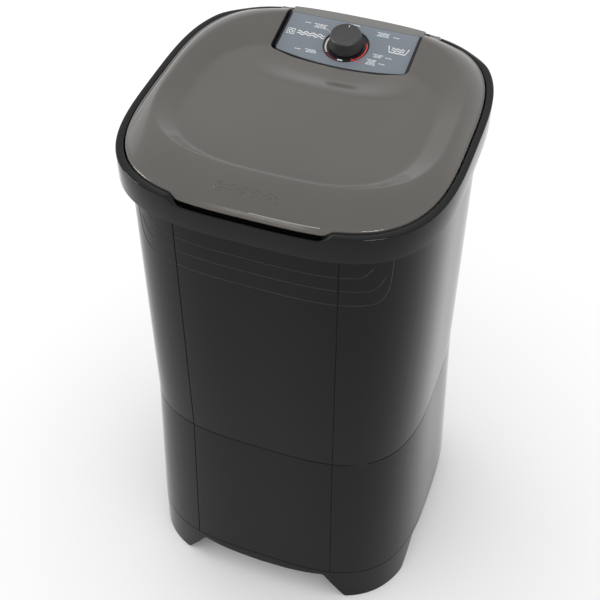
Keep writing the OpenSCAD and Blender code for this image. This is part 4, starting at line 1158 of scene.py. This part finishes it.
def add_tub():
    """Inner face with its ribs from the floor up, the flange, then the outer face back down."""
    columns = 288
    rings = []
    for k in range(9):
        t = math.pi / 2 * k / 8
        z = TUB_FLOOR + TUB_ROUND * (1 - math.cos(t))
        rings.append(tub_ring(TUB_ROUND * (1 - math.sin(t)), z, columns))
    for k in range(1, 25):
        z = TUB_FLOOR + TUB_ROUND + (TUB_TOP - 3 - TUB_FLOOR - TUB_ROUND) * k / 24
        fade = smooth((k - 1) / 3) * smooth((22 - k) / 4)
        rings.append(tub_ring(0, z, columns, 2.6 * fade))
    rings.append(tub_ring(-0.6, TUB_TOP - 0.8, columns))
    rings.append(tub_ring(-1.8, TUB_TOP, columns))
    rings.append(tub_ring(-TUB_FLANGE, TUB_TOP, columns))
    rings.append(tub_ring(-TUB_FLANGE, TUB_TOP - 4, columns))
    for k in range(12, -1, -1):
        z = TUB_FLOOR + TUB_ROUND + (TUB_TOP - 4 - TUB_FLOOR - TUB_ROUND) * k / 12
        rings.append(tub_ring(-TUB_WALL, z, columns))
    for k in range(8, -1, -1):
        t = math.pi / 2 * k / 8
        z = TUB_FLOOR - TUB_WALL + (TUB_ROUND + TUB_WALL) * (1 - math.cos(t))
        rings.append(tub_ring(TUB_ROUND * (1 - math.sin(t)) - TUB_WALL, z, columns))
    boss_low = TUB_FLOOR - 12
    boss = [circle(TUB_BOSS_R, z, columns, TUB_CY) for z in (TUB_FLOOR - TUB_WALL, boss_low)]
    bore = [circle(TUB_BORE_R, z, columns, TUB_CY) for z in (boss_low, TUB_FLOOR)]
    tub = make("tub", *loft(rings + boss + bore, join_ends=True), TUB, replaces=["wash_tub"],
               slot="tub_plastic")
    points, faces = revolve([(0, -20), (14.9, -20), (14.9, 20), (0, 20)], 48)
    cut(tub, [(x + DRAIN_X, y + DRAIN_Y, z + TUB_FLOOR) for x, y, z in points], faces)
    finish_mesh(tub, sharp=40)
    add_drain_grate()


def add_drain_grate():
    profile = [(12.2, 0), (14.4, 0), (15.8, 0.6), (16.2, 1.4), (15.4, 2), (12.4, 2)]
    parts = [loft([circle(r, z, 64) for r, z in profile], join_ends=True)]
    for k in range(-2, 3):
        x = k * 4.6
        reach = math.sqrt(12.6 ** 2 - x * x)
        parts.append(box_part((x - 0.9, -reach, 0.2), (x + 0.9, reach, 1.7)))
    parts.append(box_part((-12.4, -0.9, 0.2), (12.4, 0.9, 1.5)))
    points, faces = merge(*parts)
    make("drain_grate", [(x + DRAIN_X, y + DRAIN_Y, z + TUB_FLOOR + 0.05) for x, y, z in points], faces,
         TUB, slot="tub_plastic")


def add_pulsator():
    """Dished disc with five curved fins that rise to the hub."""
    columns, rows = 300, 42
    r1 = PULSATOR_R
    r_fin = r1 - FIN_END
    z0 = TUB_FLOOR + 3
    base = [(0, 40), (26, 39.6), (31, 32), (36, 25.5), (46, 19.5), (60, 14.2), (80, 11.6), (100, 9.6),
            (112, 8.4), (115.5, 7.6), (117.4, 5.8), (118, 3.4)]

    def height(r):
        for (a, za), (b, zb) in zip(base, base[1:]):
            if r <= b:
                return za + (zb - za) * (r - a) / (b - a)
        return base[-1][1]

    def fin(r, t):
        if r < FIN_START or r > r_fin:
            return 0
        twist = 0.0045 * (r - FIN_START)
        phase = (t - twist) * FINS / (2 * math.pi)
        off = abs(phase - round(phase)) * 2 * math.pi / FINS * r
        width = 7.5 + 4 * (r / r1)
        crest = 34 - 19 * ((r - FIN_START) / (r_fin - FIN_START)) ** 1.3
        lift = max(0, crest - height(r))
        return lift * smooth((width - off) / (width - 2.5)) * smooth((r_fin - r) / 9)

    under = ((PULSATOR_BORE, 0), (22, 0), (22.5, 5), (r1 - 12, 5), (r1 - 11.5, 0), (r1 - 3, 0),
             (r1 - 0.6, 1))
    rings = [circle(r, z, columns) for r, z in under]
    turn = [2 * math.pi * i / columns for i in range(columns)]
    for k in range(rows, -1, -1):
        r = PULSATOR_HUB + (r1 - PULSATOR_HUB) * (k / rows)
        rings.append([(r * math.cos(t), r * math.sin(t), height(r) + fin(r, t)) for t in turn])
    rings += [circle(r, 34, columns) for r in (PULSATOR_HUB - 0.1, PULSATOR_BORE)]
    points, faces = loft(rings, join_ends=True)
    make("agitator", [(x, y + TUB_CY, z + z0) for x, y, z in points], faces, TUB, body="wash_drive",
         replaces=["pulsator"], slot="tub_plastic", sharp=50)
    cap = [(0.01, 37.3), (12.4, 37.3), (12.9, 37.8), (13, 40.4), (12.5, 41.6), (10.6, 43.6), (7, 45.2),
           (3, 46), (0.01, 46.2)]
    points, faces = revolve(cap, 96, lambda p: (p[0], p[1] + TUB_CY, p[2] + z0))
    make("agitator_cap", points, faces, BLUE, body="wash_drive", replaces=["pulsator_cap"],
         slot="filter_plastic", sharp=50)


def add_filter():
    """Frame, rib, finger tab and fine mesh of the lint filter."""
    low, high = box_mm("lint_filter")
    x0, x1 = low[0], low[0] + 10
    y0, y1 = low[1], high[1]
    middle = (y0 + y1) / 2
    z0, z1 = low[2], low[2] + 150
    bar_w, rib, tab_half = 6, 1.5, 14
    frame_parts = [box_part((x0, y0, z0), (x1, y0 + bar_w, z1)),
                   box_part((x0, y1 - bar_w, z0), (x1, y1, z1)),
                   box_part((x0, y0 + bar_w, z0), (x1, y1 - bar_w, z0 + bar_w)),
                   box_part((x0, y0 + bar_w, z1 - 2 * bar_w), (x1, y1 - bar_w, z1)),
                   box_part((x0, middle - rib, z0 + bar_w), (x0 + 5, middle + rib, z1 - 2 * bar_w))]
    tab = [(middle - tab_half + 4 * (1 - math.cos(t)), z1 + 5 + 3 * math.sin(t)) for t in
           (math.pi / 2 * k / 5 for k in range(6))]
    outline = [(middle - tab_half, z1 - 1)] + tab
    outline += [(2 * middle - y, z) for y, z in outline[::-1]]
    frame_parts.append(prism(outline, x0, x1, axis="x"))
    make("filter_frame", *merge(*frame_parts), BLUE, body="filter_unit", replaces=["lint_filter"],
         slot="filter_plastic", bevel=0.9)
    wires = []
    inner_y0, inner_y1 = y0 + bar_w - 0.5, y1 - bar_w + 0.5
    inner_z0, inner_z1 = z0 + bar_w - 0.5, z1 - 2 * bar_w + 0.5
    pitch, half = 3.2, 0.25
    y = inner_y0 + pitch
    while y < inner_y1:
        wires.append(box_part((x0 + 4.6, y - half, inner_z0), (x0 + 5.1, y + half, inner_z1)))
        y += pitch
    z = inner_z0 + pitch
    while z < inner_z1:
        wires.append(box_part((x0 + 4.4, inner_y0, z - half), (x0 + 4.9, inner_y1, z + half)))
        z += pitch
    make("filter_mesh", *merge(*wires), TUB, body="filter_unit", slot="filter_plastic")


# ------------------ CAD nodes that stay in view


def dress_nodes():
    for material, names in NODE_MATERIALS:
        for name in names.split():
            mesh = nodes[name].data
            mesh.materials.clear()
            mesh.materials.append(material)
            mesh.shade_smooth()
            mesh.set_sharp_from_angle(angle=math.radians(38))


add_camera()
add_studio()
add_panels()
add_moulded_lines()
add_base()
add_collar()
add_lid()
add_console()
add_tub()
add_pulsator()
add_filter()
dress_nodes()
